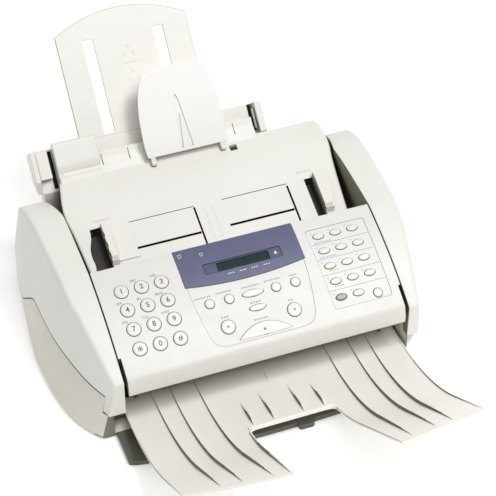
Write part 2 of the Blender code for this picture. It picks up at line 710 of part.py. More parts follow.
def make_document_support():
    """Small tapered rest for originals, hinged on the cover's crest."""
    heights = (0.0, 0.015, 0.045, 0.067, 0.083, 0.092, 0.0955, DOC_HEIGHT)
    right = [(DOC_CENTRE + document_half(t), t) for t in heights]
    left = [(2 * DOC_CENTRE - x, t) for x, t in reversed(right)]
    cos_lean = math.cos(DOC_LEAN)
    sin_lean = math.sin(DOC_LEAN)
    rings = []
    for offset in (-DOC_THICK / 2, DOC_THICK / 2):
        ring = []
        for x, t in right + left:
            y = DOC_HINGE[1] + t * cos_lean - offset * sin_lean
            z = DOC_HINGE[2] + t * sin_lean + offset * cos_lean
            ring.append((x, y, z))
        rings.append(ring)
    rest = loft("document_support", rings, "white")
    knuckle = [(DOC_CENTRE - 0.0405, 0.0022), (DOC_CENTRE + 0.0405, 0.0022)]
    fuse(rest, bar_x("knuckle", DOC_HINGE[1:], knuckle, 12))
    return place(rest, DOC_HINGE)


# ---------------------------------------------------------------- output tray
def tray_point(run):
    """(y, z, slope) of the tray's top, run metres in front of its rear edge."""
    y = TRAY_REAR - run
    curved = max(0.0, run - TRAY_FLAT)
    limit = TRAY_RADIUS * math.sin(TRAY_SLOPE)
    bent = min(curved, limit)
    z = TRAY_REAR_Z + TRAY_RADIUS - math.sqrt(TRAY_RADIUS ** 2 - bent ** 2)
    z += max(0.0, curved - limit) * math.tan(TRAY_SLOPE)
    return (y, z, math.asin(bent / TRAY_RADIUS))


def tray_front_run(x):
    share = max(0.0, (abs(x) - NOTCH_HALF_FRONT) / (TRAY_HALF - NOTCH_HALF_FRONT))
    return 0.2085 - 0.0240 * share ** 1.2


def make_output_tray():
    """Scooped paper tray with a notch in the middle of its front edge."""
    notch_run = TRAY_REAR - NOTCH_REAR
    runs = [0.0, 0.012, 0.035, 0.058, notch_run, 0.100, 0.120, 0.140, 0.160, 0.180]
    columns = 5
    top = []
    bottom = []

    def add(x, run):
        y, z, slope = tray_point(run)
        top.append((x, y, z))
        bottom.append((x, y - TRAY_THICK * math.sin(slope), z - TRAY_THICK * math.cos(slope)))

    rows = len(runs) + 1
    for row in range(rows):
        run = runs[row] if row < len(runs) else None
        along_notch = max(0.0, ((run or 0.2085) - notch_run) / (0.2085 - notch_run))
        inner = lerp(NOTCH_HALF_REAR, NOTCH_HALF_FRONT, along_notch)
        xs = [lerp(inner, TRAY_HALF, (i / columns)) for i in range(columns + 1)]
        for x in [-value for value in reversed(xs)] + xs:
            add(x, run if run is not None else tray_front_run(x))
    width = 2 * (columns + 1)
    faces = []
    for row in range(rows - 1):
        for column in range(width - 1):
            if column == columns and runs[row] >= notch_run - 1e-9:
                continue
            a = row * width + column
            faces.append((a, a + width, a + width + 1, a + 1))
    tray = thick_sheet("output_tray", faces, top, bottom, "tray")
    return place(tray, (0.0, TRAY_REAR, TRAY_REAR_Z))


# ---------------------------------------------------------------- inside
def roller(name, centre, radius, reach, tyres, tyre_width, key):
    """A shaft along X with soft tyres spread evenly along it."""
    ends = UPRIGHT_X + WALL + 0.0018
    stations = [(-ends if reach is None else -reach, SHAFT_RADIUS)]
    for middle in tyres:
        stations += [(middle - tyre_width / 2, SHAFT_RADIUS), (middle - tyre_width / 2 + 0.0001, radius),
                     (middle + tyre_width / 2 - 0.0001, radius), (middle + tyre_width / 2, SHAFT_RADIUS)]
    stations.append((ends if reach is None else reach, SHAFT_RADIUS))
    return place(bar_x(name, centre, stations, 12, key), (0.0, centre[0], centre[1]))


def make_carriage():
    """Print head carriage with its ink cartridge, riding on the rod."""
    carriage = box("ink_carriage", (-0.0300, 0.0300, 0.0430), (0.0300, 0.0940, 0.0745), "dark")
    hole = [(-0.05, ROD_RADIUS + GAP), (0.05, ROD_RADIUS + GAP)]
    cut(carriage, bar_x("rod_hole", CARRIAGE_ROD, hole, 12))
    return place(carriage, (0.0, *CARRIAGE_ROD))


def make_jack_panel():
    """Rear plate with the mains inlet and two line sockets."""
    plate = box("jack_panel", (0.0905, 0.1600, 0.0105), (0.1495, 0.1702, 0.0445), "dark")
    inlet = box("inlet", (0.0950, 0.1635, 0.0170), (0.1190, 0.1800, 0.0380))
    sockets = [box("socket", (x, 0.1635, 0.0200), (x + 0.0115, 0.1800, 0.0320)) for x in (0.1225, 0.1360)]
    cut(plate, join("sockets", [inlet] + sockets))
    return place(plate)


def make_inside():
    ends = UPRIGHT_X + WALL + 0.0018
    roller("exit_roller", EXIT_SHAFT, 0.0062, None, (-0.09, -0.03, 0.03, 0.09), 0.016, "rubber")
    roller("pickup_roller", PICKUP_SHAFT, 0.0115, None, (-0.085, 0.015), 0.030, "rubber")
    roller("document_roller", DOC_SHAFT, 0.0080, 0.1370, (-0.06, 0.0, 0.06), 0.028, "rubber")
    place(bar_x("carriage_rod", CARRIAGE_ROD, [(-ends, ROD_RADIUS), (ends, ROD_RADIUS)], 12, "steel"))
    place(box("platen", (-0.1255, -0.0300, 0.0290), (0.1255, 0.0240, 0.0330), "dark"))
    make_carriage()
    place(box("main_board", (-0.1200, 0.0350, 0.0100), (0.0800, 0.1500, 0.0116), "board"))
    place(box("power_supply", (0.1400, 0.0300, 0.0075), (0.1800, 0.1400, 0.0440), "steel"))
    make_jack_panel()


# ---------------------------------------------------------------- assembly
def build():
    clear_scene()
    make_base()
    make_side_cover("left_side_cover", -1)
    make_side_cover("right_side_cover", 1)
    make_top_cover()
    make_guide("left_document_guide", -1)
    make_guide("right_document_guide", 1)
    make_panel()
    make_display_plate()
    make_lcd()
    make_key_mat()
    for row in key_table():
        make_key(*row)
    make_sheet_feeder()
    make_paper_support()
    make_paper_guide()
    make_document_support()
    make_output_tray()
    make_inside()


build()
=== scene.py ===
"""Looks of the desktop fax machine: finished shells, keys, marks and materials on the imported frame.

Units are metres. Shapes are drawn about the machine's own datum, the first row of dial keys,
and put_on() moves each one to the frame and lets it ride on its body.
"""
import json
import math

import bmesh
import bpy
from mathutils import Matrix, Vector


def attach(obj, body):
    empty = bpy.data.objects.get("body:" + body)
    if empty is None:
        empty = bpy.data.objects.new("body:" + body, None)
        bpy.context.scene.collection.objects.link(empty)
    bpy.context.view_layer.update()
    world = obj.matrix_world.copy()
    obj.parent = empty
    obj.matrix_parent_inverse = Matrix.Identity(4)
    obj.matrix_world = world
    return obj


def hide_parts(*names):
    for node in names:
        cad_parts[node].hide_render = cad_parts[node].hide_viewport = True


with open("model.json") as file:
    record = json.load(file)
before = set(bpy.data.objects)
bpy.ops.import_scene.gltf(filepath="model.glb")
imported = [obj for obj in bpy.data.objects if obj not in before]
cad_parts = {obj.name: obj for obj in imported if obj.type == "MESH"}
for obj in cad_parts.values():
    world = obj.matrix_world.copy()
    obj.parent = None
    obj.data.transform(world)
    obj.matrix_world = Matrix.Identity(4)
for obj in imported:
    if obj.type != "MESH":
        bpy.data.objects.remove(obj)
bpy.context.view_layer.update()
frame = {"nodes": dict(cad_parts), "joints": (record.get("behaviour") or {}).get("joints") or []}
HINGE = {joint["name"]: joint.get("pos_m") for joint in frame["joints"]}

# ---------------------------------------------------------------- driving dimensions
COVER_HINGE_Y = -0.0660
DATUM_Y = HINGE["upper_unit_hinge"][1] - COVER_HINGE_Y
GAP = 0.0003
SEAM_GAP = 0.0011

ARC_RADIUS = 0.341
ARC_Y = 0.1115
ARC_Z = -0.2093
FIRST_KEY_ANGLE = math.asin(ARC_Y / ARC_RADIUS)
PANEL_REAR = -0.0286
PANEL_FRONT = 0.0850
PANEL_HALF = 0.1437
PANEL_SKIRT = 0.012
PANEL_ROUND = 0.0040
DISPLAY_HALF = 0.0615
DISPLAY_POCKET_HALF = 0.0618
LIP_FRONT = -0.0800
LIP_BOTTOM = 0.0557
GRIP_START = 0.0640
GRIP_DEPTH = 0.0026
SKIN_DEPTH = 0.0014
SKIN_TOP = -0.0003

KEY_PITCH = 0.020
KEY_RISE = 0.0012
KEY_DEPTH = 0.0075
KEY_CLEARANCE = 0.0004
NUMERIC_X = -0.1212
ONE_TOUCH_X = 0.0827
ONE_TOUCH_V = -0.0061
ONE_TOUCH_PITCH = (0.0179, 0.0168)

CHEEK_INNER = 0.1448
SEAM_Z = 0.0510
CHEEK_LEG_Z = 0.0335

FEED_LEAN = math.radians(47.0)
FEED_Y = 0.162
FEED_Z = 0.131
FEED_HEIGHT = 0.0306
FEED_LEFT = -0.1582
FEED_RIGHT = 0.0890
BACK_DEPTH = 0.0115
FRAME_DEPTH = 0.0240
LIP_THICK = 0.003
LIP_HEIGHT = 0.0162

SUPPORT_CENTRE = -0.0332
SUPPORT_HALF = 0.0700
SUPPORT_CORNER = 0.1390
SUPPORT_TOP = 0.1580
SUPPORT_BOTTOM = 0.0120
SUPPORT_DEPTH = 0.0130
SUPPORT_THICK = 0.0030

DOC_Y = 0.1485
DOC_Z = 0.1316
DOC_LEAN = math.radians(55.0)
DOC_CENTRE = -0.0015
DOC_HEIGHT = 0.0950
DOC_THICK = 0.0026
DOC_FOOT = 0.0060

TRAY_HALF = 0.1432
TRAY_REAR = -0.0575
TRAY_REAR_Z = 0.0210
TRAY_THICK = 0.0022
TRAY_FLAT = 0.012
TRAY_RADIUS = 0.205
TRAY_SLOPE = math.radians(36.0)
TRAY_LENGTH = 0.2085
NOTCH_REAR = -0.1385
NOTCH_HALF_REAR = 0.0431
NOTCH_HALF_FRONT = 0.0499
NOTCH_CORNER = 0.0060

GUIDE_WALLS = {-1: (-0.1128, -0.1052), 1: (0.1130, 0.1275)}
GUIDE_TAPER = 0.0055
GUIDE_PLATE = -0.0835
GUIDE_FRONT = 0.0575
GUIDE_REAR = 0.0972
POCKET_FRONT = 0.0420
POCKET_FLOOR = -0.0100

EXIT_SHAFT = (-0.046, 0.0345)
PICKUP_SHAFT = (0.1360, 0.1040)
DOCUMENT_SHAFT = (0.0160, 0.0900)
CARRIAGE_ROD = (0.062, 0.062)
SHAFT_END = 0.1308

CAMERA_AT = (-0.4147, -1.1279, 1.2319)
CAMERA_DIRECTION = (0.2582, 0.6906, -0.6756)
CAMERA_LENS = 123.4
STUDIO_LIGHT = (0.992, 0.997, 1.0)
WORLD_TINT = (1.0, 0.975, 0.925, 1.0)
WORLD_STRENGTH = 0.225
FLOOR_GLOW = 0.38


# ---------------------------------------------------------------- curves and sections
def lerp(a, b, t):
    return a + (b - a) * t


def along(table, at):
    """Smooth reading of a rising table of (position, value) pairs."""
    if at <= table[0][0]:
        return table[0][1]
    if at >= table[-1][0]:
        return table[-1][1]
    slopes = []
    for i in range(len(table)):
        a = table[max(i - 1, 0)]
        b = table[min(i + 1, len(table) - 1)]
        slopes.append((b[1] - a[1]) / (b[0] - a[0]))
    for i in range(len(table) - 1):
        (p0, v0), (p1, v1) = table[i], table[i + 1]
        if at <= p1:
            span = p1 - p0
            t = (at - p0) / span
            return ((2 * t ** 3 - 3 * t ** 2 + 1) * v0 + (t ** 3 - 2 * t ** 2 + t) * span * slopes[i]
                    + (3 * t ** 2 - 2 * t ** 3) * v1 + (t ** 3 - t ** 2) * span * slopes[i + 1])


def straight(table, at):
    """Straight-line reading of the same kind of table."""
    if at <= table[0][0]:
        return table[0][1]
    for (p0, v0), (p1, v1) in zip(table, table[1:]):
        if at <= p1:
            return lerp(v0, v1, (at - p0) / (p1 - p0))
    return table[-1][1]


def steps(low, high, count):
    return [lerp(low, high, i / count) for i in range(count + 1)]


def fillet(corners, radii, count=4):
    """Closed outline with its corners rounded; radii gives one radius for each corner."""
    made = []
    total = len(corners)
    for i, corner in enumerate(corners):
        if radii[i] <= 0.0:
            made.append(tuple(corner))
            continue
        here = Vector(corner)
        before = Vector(corners[i - 1]) - here
        after = Vector(corners[(i + 1) % total]) - here
        reach = min(radii[i], before.length * 0.49, after.length * 0.49)
        start = here + before.normalized() * reach
        end = here + after.normalized() * reach
        for j in range(count + 1):
            t = j / count
            made.append(tuple(start * (1 - t) ** 2 + here * 2 * t * (1 - t) + end * t ** 2))
    return made


def rectangle(a0, a1, b0, b1):
    return [(a0, b0), (a1, b0), (a1, b1), (a0, b1)]


def rounded(a0, a1, b0, b1, radius, count=4):
    return fillet(rectangle(a0, a1, b0, b1), [radius] * 4, count)


def side_span(side, inner, outer):
    """The x limits of a part on one side of the machine, lower first."""
    return sorted((side * inner, side * outer))


def arc_point(v, lift=0.0):
    """(y, z) of a place v metres down the panel's curve from the first key row."""
    angle = FIRST_KEY_ANGLE + v / ARC_RADIUS
    radius = ARC_RADIUS + lift
    return (ARC_Y - radius * math.sin(angle), ARC_Z + radius * math.cos(angle))


def feed_point(t, depth=0.0):
    """(y, z) of a place t metres up the feeder's slope and depth behind its front."""
    return (FEED_Y + t * math.cos(FEED_LEAN) + depth * math.sin(FEED_LEAN),
            FEED_Z + t * math.sin(FEED_LEAN) - depth * math.cos(FEED_LEAN))


def feed_outline(points):
    return [feed_point(t, depth) for t, depth in points]


def feed_rings(outline, depths):
    """The (x, t) outline at each depth behind the feeder's front."""
    return [[(x, *feed_point(t, depth)) for x, t in outline] for depth in depths]


# ---------------------------------------------------------------- mesh helpers
def face_outwards(work):
    bmesh.ops.recalc_face_normals(work, faces=work.faces)
    if work.calc_volume(signed=True) < 0.0:
        bmesh.ops.reverse_faces(work, faces=work.faces)


def linked(name, data):
    made = bpy.data.objects.new(name, data)
    bpy.context.scene.collection.objects.link(made)
    return made


def solid(name, verts, faces):
    mesh = bpy.data.meshes.new(name)
    work = bmesh.new()
    made = [work.verts.new(v) for v in verts]
    for face in faces:
        work.faces.new([made[i] for i in face])
    face_outwards(work)
    work.to_mesh(mesh)
    work.free()
    return linked(name, mesh)


def loft(name, rings):
    count = len(rings[0])
    verts = [point for ring in rings for point in ring]
    faces = []
    for r in range(len(rings) - 1):
        for i in range(count):
            j = (i + 1) % count
            faces.append((r * count + i, r * count + j, (r + 1) * count + j, (r + 1) * count + i))
    faces.append(tuple(range(count)))
    faces.append(tuple((len(rings) - 1) * count + i for i in range(count)))
    return solid(name, verts, faces)


def prism_x(name, outline, x0, x1, edge=0.0):
    """An outline of (y, z) points pulled out along X; edge rounds both ends."""
    if edge <= 0.0:
        return loft(name, [[(x0, y, z) for y, z in outline], [(x1, y, z) for y, z in outline]])
    rings = []
    for x, inset in ((x0, edge), (x0 + edge * 0.3, edge * 0.3), (x0 + edge, 0.0),
                     (x1 - edge, 0.0), (x1 - edge * 0.3, edge * 0.3), (x1, edge)):
        rings.append([(x, y, z) for y, z in shrink(outline, inset)])
    return loft(name, rings)


def shrink(outline, inset):
    """Move a closed outline of (a, b) points inwards by inset, corner by corner."""
    if inset == 0.0:
        return list(outline)
    area = 0.0
    for (a0, b0), (a1, b1) in zip(outline, outline[1:] + outline[:1]):
        area += a0 * b1 - a1 * b0
    turn = 1.0 if area > 0 else -1.0
    made = []
    for i, point in enumerate(outline):
        here = Vector(point)
        before = (here - Vector(outline[i - 1])).normalized()
        after = (Vector(outline[(i + 1) % len(outline)]) - here).normalized()
        normal = Vector((-(before.y + after.y), before.x + after.x)) * turn
        if normal.length < 1e-6:
            made.append(tuple(here))
            continue
        normal.normalize()
        side = Vector((-before.y, before.x)) * turn
        reach = inset / max(0.5, normal.dot(side))
        made.append(tuple(here + normal * reach))
    return made


def box(name, low, high):
    return prism_x(name, rectangle(low[1], high[1], low[2], high[2]), low[0], high[0])


def bar_x(name, centre, stations, sides=40):
    rings = []
    for x, radius in stations:
        ring = []
        for i in range(sides):
            turn = 2.0 * math.pi * i / sides
            ring.append((x, centre[0] + radius * math.cos(turn), centre[1] + radius * math.sin(turn)))
        rings.append(ring)
    return loft(name, rings)


def thick_sheet(name, grid_faces, top, bottom):
    """A closed sheet: the grid on top, its copy below, and walls round every open edge."""
    count = len(top)
    faces = [tuple(face) for face in grid_faces]
    uses = {}
    for face in grid_faces:
        for a, b in zip(face, list(face[1:]) + [face[0]]):
            uses.setdefault(tuple(sorted((a, b))), []).append((a, b))
    for face in grid_faces:
        faces.append(tuple(i + count for i in reversed(face)))
    for pairs in uses.values():
        if len(pairs) == 1:
            a, b = pairs[0]
            faces.append((b, a, a + count, b + count))
    return solid(name, list(top) + list(bottom), faces)


def bent_plate(name, outline, low, high, stride=0.004, chamfer=0.0):
    """A plate of outline (x, v) that follows the panel's curve between two lifts."""
    rings = [[(x, v, low) for x, v in outline]]
    if chamfer:
        rings.append([(x, v, high - chamfer) for x, v in outline])
        rings.append([(x, v, high) for x, v in shrink(outline, chamfer)])
    else:
        rings.append([(x, v, high) for x, v in outline])
    piece = loft(name, rings)
    work = bmesh.new()
    work.from_mesh(piece.data)
    front = max(v for _, v in outline)
    at = min(v for _, v in outline) + stride
    while at < front:
        everything = list(work.verts) + list(work.edges) + list(work.faces)
        bmesh.ops.bisect_plane(work, geom=everything, plane_co=(0, at, 0), plane_no=(0, 1, 0),
                               dist=1e-7)
        at += stride
    bmesh.ops.triangulate(work, faces=work.faces)
    for vert in work.verts:
        x, v, lift = vert.co
        y, z = arc_point(v, lift)
        vert.co = (x, y, z)
    face_outwards(work)
    work.to_mesh(piece.data)
    work.free()
    return piece


def join(name, pieces):
    """Several closed meshes as one object, keeping each one's material."""
    work = bmesh.new()
    materials = []
    for piece in pieces:
        start = len(work.faces)
        mesh = piece.data
        mesh.transform(piece.matrix_world)
        offset = len(materials)
        materials += list(mesh.materials)
        work.from_mesh(mesh)
        work.faces.ensure_lookup_table()
        for face in work.faces[start:]:
            face.material_index += offset
        bpy.data.objects.remove(piece, do_unlink=True)
    mesh = bpy.data.meshes.new(name)
    work.to_mesh(mesh)
    work.free()
    for entry in materials:
        mesh.materials.append(entry)
    return linked(name, mesh)


def applied(piece):
    """Replace the mesh by its modifiers' result."""
    bpy.context.view_layer.update()
    graph = bpy.context.evaluated_depsgraph_get()
    result = bpy.data.meshes.new_from_object(piece.evaluated_get(graph))
    piece.modifiers.clear()
    old = piece.data
    piece.data = result
    bpy.data.meshes.remove(old)
    return piece


def combine(piece, other, operation):
    step = piece.modifiers.new(operation.lower(), "BOOLEAN")
    step.operation = operation
    step.solver = "EXACT"
    step.object = other
    applied(piece)
    bpy.data.objects.remove(other, do_unlink=True)
    return piece


def cut(piece, *cutters):
    for cutter in cutters:
        combine(piece, cutter, "DIFFERENCE")
    return piece


def fuse(piece, *others):
    for other in others:
        combine(piece, other, "UNION")
    return piece


def bevel(piece, width, count=3, angle=35.0):
    """Round every edge sharper than angle."""
    step = piece.modifiers.new("bevel", "BEVEL")
    step.width = width
    step.segments = count
    step.limit_method = "ANGLE"
    step.angle_limit = math.radians(angle)
    step.use_clamp_overlap = True
    step.harden_normals = False
    return applied(piece)


def stand_on_arc(piece, x, v):
    y, z = arc_point(v)
    piece.matrix_world = (Matrix.Translation((x, y, z))
                          @ Matrix.Rotation(FIRST_KEY_ANGLE + v / ARC_RADIUS, 4, "X"))
    return piece


def paint(piece, material, chosen):
    """Give the faces picked by chosen(centre, normal) a second material."""
    piece.data.materials.append(material)
    index = len(piece.data.materials) - 1
    for face in piece.data.polygons:
        if chosen(face.center, face.normal):
            face.material_index = index


def put_on(piece, body, material, replaces=(), smooth=32.0):
    """Finish a piece: material, smooth faces, its place in the frame and the body it rides on."""
    if material is not None:
        piece.data.materials.clear()
        piece.data.materials.append(material)
    piece.data.shade_smooth()
    piece.data.set_sharp_from_angle(angle=math.radians(smooth))
    weighted = piece.modifiers.new("weighted normals", "WEIGHTED_NORMAL")
    weighted.keep_sharp = True
    piece.matrix_world = Matrix.Translation((0.0, DATUM_Y, 0.0)) @ piece.matrix_world
    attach(piece, body)
    if replaces:
        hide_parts(*replaces)
    return piece


# ---------------------------------------------------------------- materials
def node_material(name):
    made = bpy.data.materials.new(name)
    made.use_nodes = True
    tree = made.node_tree
    return made, tree, tree.nodes["Principled BSDF"]


def noise(tree, scale, detail, roughness=0.5):
    coordinates = tree.nodes.new("ShaderNodeTexCoord")
    texture = tree.nodes.new("ShaderNodeTexNoise")
    texture.inputs["Scale"].default_value = scale
    texture.inputs["Detail"].default_value = detail
    texture.inputs["Roughness"].default_value = roughness
    tree.links.new(coordinates.outputs["Object"], texture.inputs["Vector"])
    return texture


def grey(value):
    return (value, value, value, 1.0)


def ramp(tree, source, low, high, stops):
    made = tree.nodes.new("ShaderNodeValToRGB")
    made.color_ramp.elements[0].position = stops[0]
    made.color_ramp.elements[0].color = low
    made.color_ramp.elements[1].position = stops[1]
    made.color_ramp.elements[1].color = high
    tree.links.new(source.outputs["Fac"], made.inputs["Fac"])
    return made


def shade_crevices(tree, tint, shader, deep, reach):
    """Painted shade: deepen the colour towards deep where the surface is boxed in by its surroundings,
    standing in for the shade in creases and recesses.
    """
    hollow = tree.nodes.new("ShaderNodeAmbientOcclusion")
    hollow.samples = 8
    hollow.inputs["Distance"].default_value = reach
    amount = tree.nodes.new("ShaderNodeMapRange")
    amount.inputs["From Min"].default_value = 0.10
    amount.inputs["From Max"].default_value = 0.75
    mix = tree.nodes.new("ShaderNodeMix")
    mix.data_type = "RGBA"
    mix.inputs[6].default_value = (*deep, 1.0)
    tree.links.new(hollow.outputs["AO"], amount.inputs["Value"])
    tree.links.new(amount.outputs["Result"], mix.inputs[0])
    tree.links.new(tint.outputs["Color"], mix.inputs[7])
    tree.links.new(mix.outputs[2], shader.inputs["Base Color"])


def moulded(name, colour, roughness, grain=0.12, grain_scale=2600.0, mottle=0.02, coat=0.0,
            deep=0.22, reach=0.012):
    """Injection-moulded plastic: faint colour drift, uneven sheen, a fine spark-eroded grain and painted
    shade that deepens the colour towards deep in creases and recesses.
    """
    made, tree, shader = node_material(name)
    drift = noise(tree, 9.0, 3.0)
    low = tuple(c * (1.0 - mottle) for c in colour)
    high = tuple(min(1.0, c * (1.0 + mottle)) for c in colour)
    tint = ramp(tree, drift, (*low, 1.0), (*high, 1.0), (0.35, 0.65))
    # Colour of the painted shade in crevices.
    shadow = tuple(c * d for c, d in zip(colour, (deep, deep * 0.92, deep * 0.66)))
    shade_crevices(tree, tint, shader, shadow, reach)
    sheen = noise(tree, 60.0, 4.0)
    shine = ramp(tree, sheen, grey(roughness * 0.88), grey(min(1.0, roughness * 1.12)), (0.3, 0.7))
    tree.links.new(shine.outputs["Color"], shader.inputs["Roughness"])
    texture = noise(tree, grain_scale, 2.0, 0.6)
    bump = tree.nodes.new("ShaderNodeBump")
    bump.inputs["Strength"].default_value = grain
    bump.inputs["Distance"].default_value = 0.00012
    tree.links.new(texture.outputs["Fac"], bump.inputs["Height"])
    tree.links.new(bump.outputs["Normal"], shader.inputs["Normal"])
    shader.inputs["Specular IOR Level"].default_value = 0.45
    shader.inputs["Coat Weight"].default_value = coat
    shader.inputs["Coat Roughness"].default_value = 0.2
    return made


def ink(name, colour, roughness=0.5):
    """Pad-printed ink with slightly uneven cover."""
    made, tree, shader = node_material(name)
    cover = noise(tree, 900.0, 2.0)
    high = tuple(min(1.0, c * 1.15 + 0.01) for c in colour)
    tint = ramp(tree, cover, (*colour, 1.0), (*high, 1.0), (0.4, 0.7))
    tree.links.new(tint.outputs["Color"], shader.inputs["Base Color"])
    shader.inputs["Roughness"].default_value = roughness
    return made


def tiled(name, size, gap, colours, roughness):
    """Surface of small cells; colours are those of the two kinds of cell and of the gap."""
    made, tree, shader = node_material(name)
    coordinates = tree.nodes.new("ShaderNodeTexCoord")
    cells = tree.nodes.new("ShaderNodeTexBrick")
    values = {"Scale": 1.0, "Brick Width": size[0], "Row Height": size[1], "Mortar Size": gap}
    for key, colour in zip(("Color1", "Color2", "Mortar"), colours):
        values[key] = (*colour, 1.0)
    for key, value in values.items():
        cells.inputs[key].default_value = value
    tree.links.new(coordinates.outputs["Object"], cells.inputs["Vector"])
    tree.links.new(cells.outputs["Color"], shader.inputs["Base Color"])
    shader.inputs["Roughness"].default_value = roughness
    return made, cells, shader


def liquid_crystal():
    """Dark green display glass with faint character cells behind it."""
    made, cells, shader = tiled("display_glass", (0.0030, 0.0060), 0.00025, (
        (0.010, 0.034, 0.030), (0.012, 0.038, 0.034), (0.008, 0.026, 0.024)), 0.30)
    cells.offset = 0.0
    shader.inputs["Specular IOR Level"].default_value = 0.25
    return made


def metal(name, colour, roughness):
    """Drawn steel with fine lengthwise scratches."""
    made, tree, shader = node_material(name)
    coordinates = tree.nodes.new("ShaderNodeTexCoord")
    stretch = tree.nodes.new("ShaderNodeMapping")
    stretch.inputs["Scale"].default_value = (4.0, 900.0, 900.0)
    texture = tree.nodes.new("ShaderNodeTexNoise")
    texture.inputs["Scale"].default_value = 1.0
    tree.links.new(coordinates.outputs["Object"], stretch.inputs["Vector"])
    tree.links.new(stretch.outputs["Vector"], texture.inputs["Vector"])
    shine = ramp(tree, texture, grey(roughness * 0.7), grey(roughness * 1.4), (0.3, 0.7))
    tree.links.new(shine.outputs["Color"], shader.inputs["Roughness"])
    shader.inputs["Base Color"].default_value = (*colour, 1.0)
    shader.inputs["Metallic"].default_value = 1.0
    return made


def circuit():
    """Green solder mask with a faint copper grid under it."""
    return tiled("circuit_board_mask", (0.009, 0.003), 0.0005, (
        (0.015, 0.110, 0.040), (0.020, 0.140, 0.050), (0.050, 0.230, 0.080)), 0.35)[0]


SHELL = moulded("shell_plastic", (0.830, 0.815, 0.772), 0.46)
# Painted shade: dark olive for the inner cheek walls and the base's front faces, standing in for their
# shadow.
RECESS_SHADE = moulded("painted_recess_shade", (0.200, 0.200, 0.145), 0.60)
PANEL = moulded("panel_plastic", (0.785, 0.770, 0.735), 0.42, grain=0.08, reach=0.006)
CONSOLE = moulded("console_plastic", (0.775, 0.775, 0.760), 0.44, grain=0.06, reach=0.003)
BASE = moulded("base_plastic", (0.780, 0.758, 0.690), 0.52, grain=0.18)
# Dark plastic for the step under the tray, made darker still as painted shade from the tray above it.
LEDGE_DARK_AND_SHADE = moulded("ledge_dark_plastic_and_shade", (0.110, 0.110, 0.088), 0.55, grain=0.18)
# Painted shade: a mid olive for side walls and rims turned away from the light.
SIDE_SHADE = moulded("painted_side_shade", (0.430, 0.410, 0.340), 0.50)
# Painted shade: dark brown for the tray ribs' sides that face -x.
RIB_SHADE = moulded("painted_rib_shade", (0.180, 0.155, 0.095), 0.50)
TRAY = moulded("tray_plastic", (0.900, 0.880, 0.830), 0.44, grain=0.10, reach=0.006)
WHITE = moulded("white_plastic", (0.930, 0.925, 0.905), 0.32, grain=0.04, coat=0.15)
KEY = moulded("key_plastic", (0.810, 0.790, 0.748), 0.36, grain=0.04, reach=0.002)
GREY_KEY = moulded("grey_key_plastic", (0.340, 0.340, 0.350), 0.36, grain=0.04)
FILM = moulded("display_film", (0.120, 0.127, 0.222), 0.38, grain=0.03, reach=0.002)
BEZEL = moulded("display_bezel", (0.085, 0.090, 0.165), 0.35, grain=0.03)
# Near-black plastic of the dark parts inside, also used as painted shade in gaps, grooves, slots and
# pockets.
DARK_AND_SHADE = moulded("dark_plastic", (0.013, 0.014, 0.012), 0.55, grain=0.15)
RUBBER = moulded("black_rubber", (0.035, 0.035, 0.035), 0.85, grain=0.3, grain_scale=1200.0)
GLASS = liquid_crystal()
STEEL = metal("drawn_steel", (0.62, 0.62, 0.64), 0.28)
BOARD = circuit()
GREY_INK = ink("grey_ink", (0.070, 0.070, 0.075))
PALE_INK = ink("pale_ink", (0.300, 0.300, 0.320))
BLUE_INK = ink("blue_ink", (0.300, 0.320, 0.450))
WHITE_INK = ink("white_ink", (0.700, 0.710, 0.760))
ORANGE_INK = ink("orange_ink", (0.750, 0.230, 0.060))
GREEN_INK = ink("green_ink", (0.080, 0.330, 0.170))
TAN_INK = ink("tan_ink", (0.620, 0.540, 0.440))


# ---------------------------------------------------------------- keys
def oval(half_x, half_y, sides):
    return [(half_x * math.cos(2 * math.pi * i / sides), half_y * math.sin(2 * math.pi * i / sides))
            for i in range(sides)]


def lens(half_x, rise, sag, sides):
    half = sides // 2
    points = []
    for i in range(half + 1):
        x = lerp(half_x, -half_x, i / half)
        points.append((x, rise * (1.0 - (x / half_x) ** 2)))
    for i in range(1, half):
        x = lerp(-half_x, half_x, i / half)
        points.append((x, -sag * (1.0 - (x / half_x) ** 2)))
    return points


def dial_names():
    return ["1", "2", "3", "4", "5", "6", "7", "8", "9", "star", "0", "hash"]


def dial_place(index):
    return NUMERIC_X + KEY_PITCH * (index % 3), KEY_PITCH * (index // 3)


def one_touch_place(index):
    return (ONE_TOUCH_X + ONE_TOUCH_PITCH[0] * (index % 3),
            ONE_TOUCH_V + ONE_TOUCH_PITCH[1] * (index // 3))


def key_table():
    """name, x, v and outline of every key."""
    rows = []
    for index, name in enumerate(dial_names()):
        rows.append(("key_" + name, *dial_place(index), oval(0.0067, 0.0067, 48)))
    for name, x in (("key_receive_mode", -0.0438), ("key_memory", -0.0240), ("key_redial", 0.0238),
                    ("key_pause", 0.0438)):
        rows.append((name, x, 0.0346, oval(0.0046, 0.0046, 40)))
    rows.append(("key_function", 0.0, 0.0346, oval(0.0108, 0.0034, 48)))
    rows.append(("key_resolution", 0.0, 0.0498, oval(0.0084, 0.0030, 48)))
    rows.append(("key_copy", -0.0337, 0.0612, oval(0.0068, 0.0068, 48)))
    rows.append(("key_stop", 0.0337, 0.0612, oval(0.0068, 0.0068, 48)))
    rows.append(("key_start", 0.0, 0.0765, lens(0.0266, 0.0118, 0.0006, 48)))
    for index in range(14):
        name = "one_touch_%02d" % (index + 1)
        rows.append((name, *one_touch_place(index), oval(0.0056, 0.0031, 40)))
    rows.append(("key_speaker", 0.1193, 0.0660, oval(0.0044, 0.0044, 40)))
    return rows


def scaled_ring(outline, grow, z):
    made = []
    for x, y in outline:
        reach = math.hypot(x, y)
        share = max(0.02, (reach + grow) / reach)
        made.append((x * share, y * share, z))
    return made


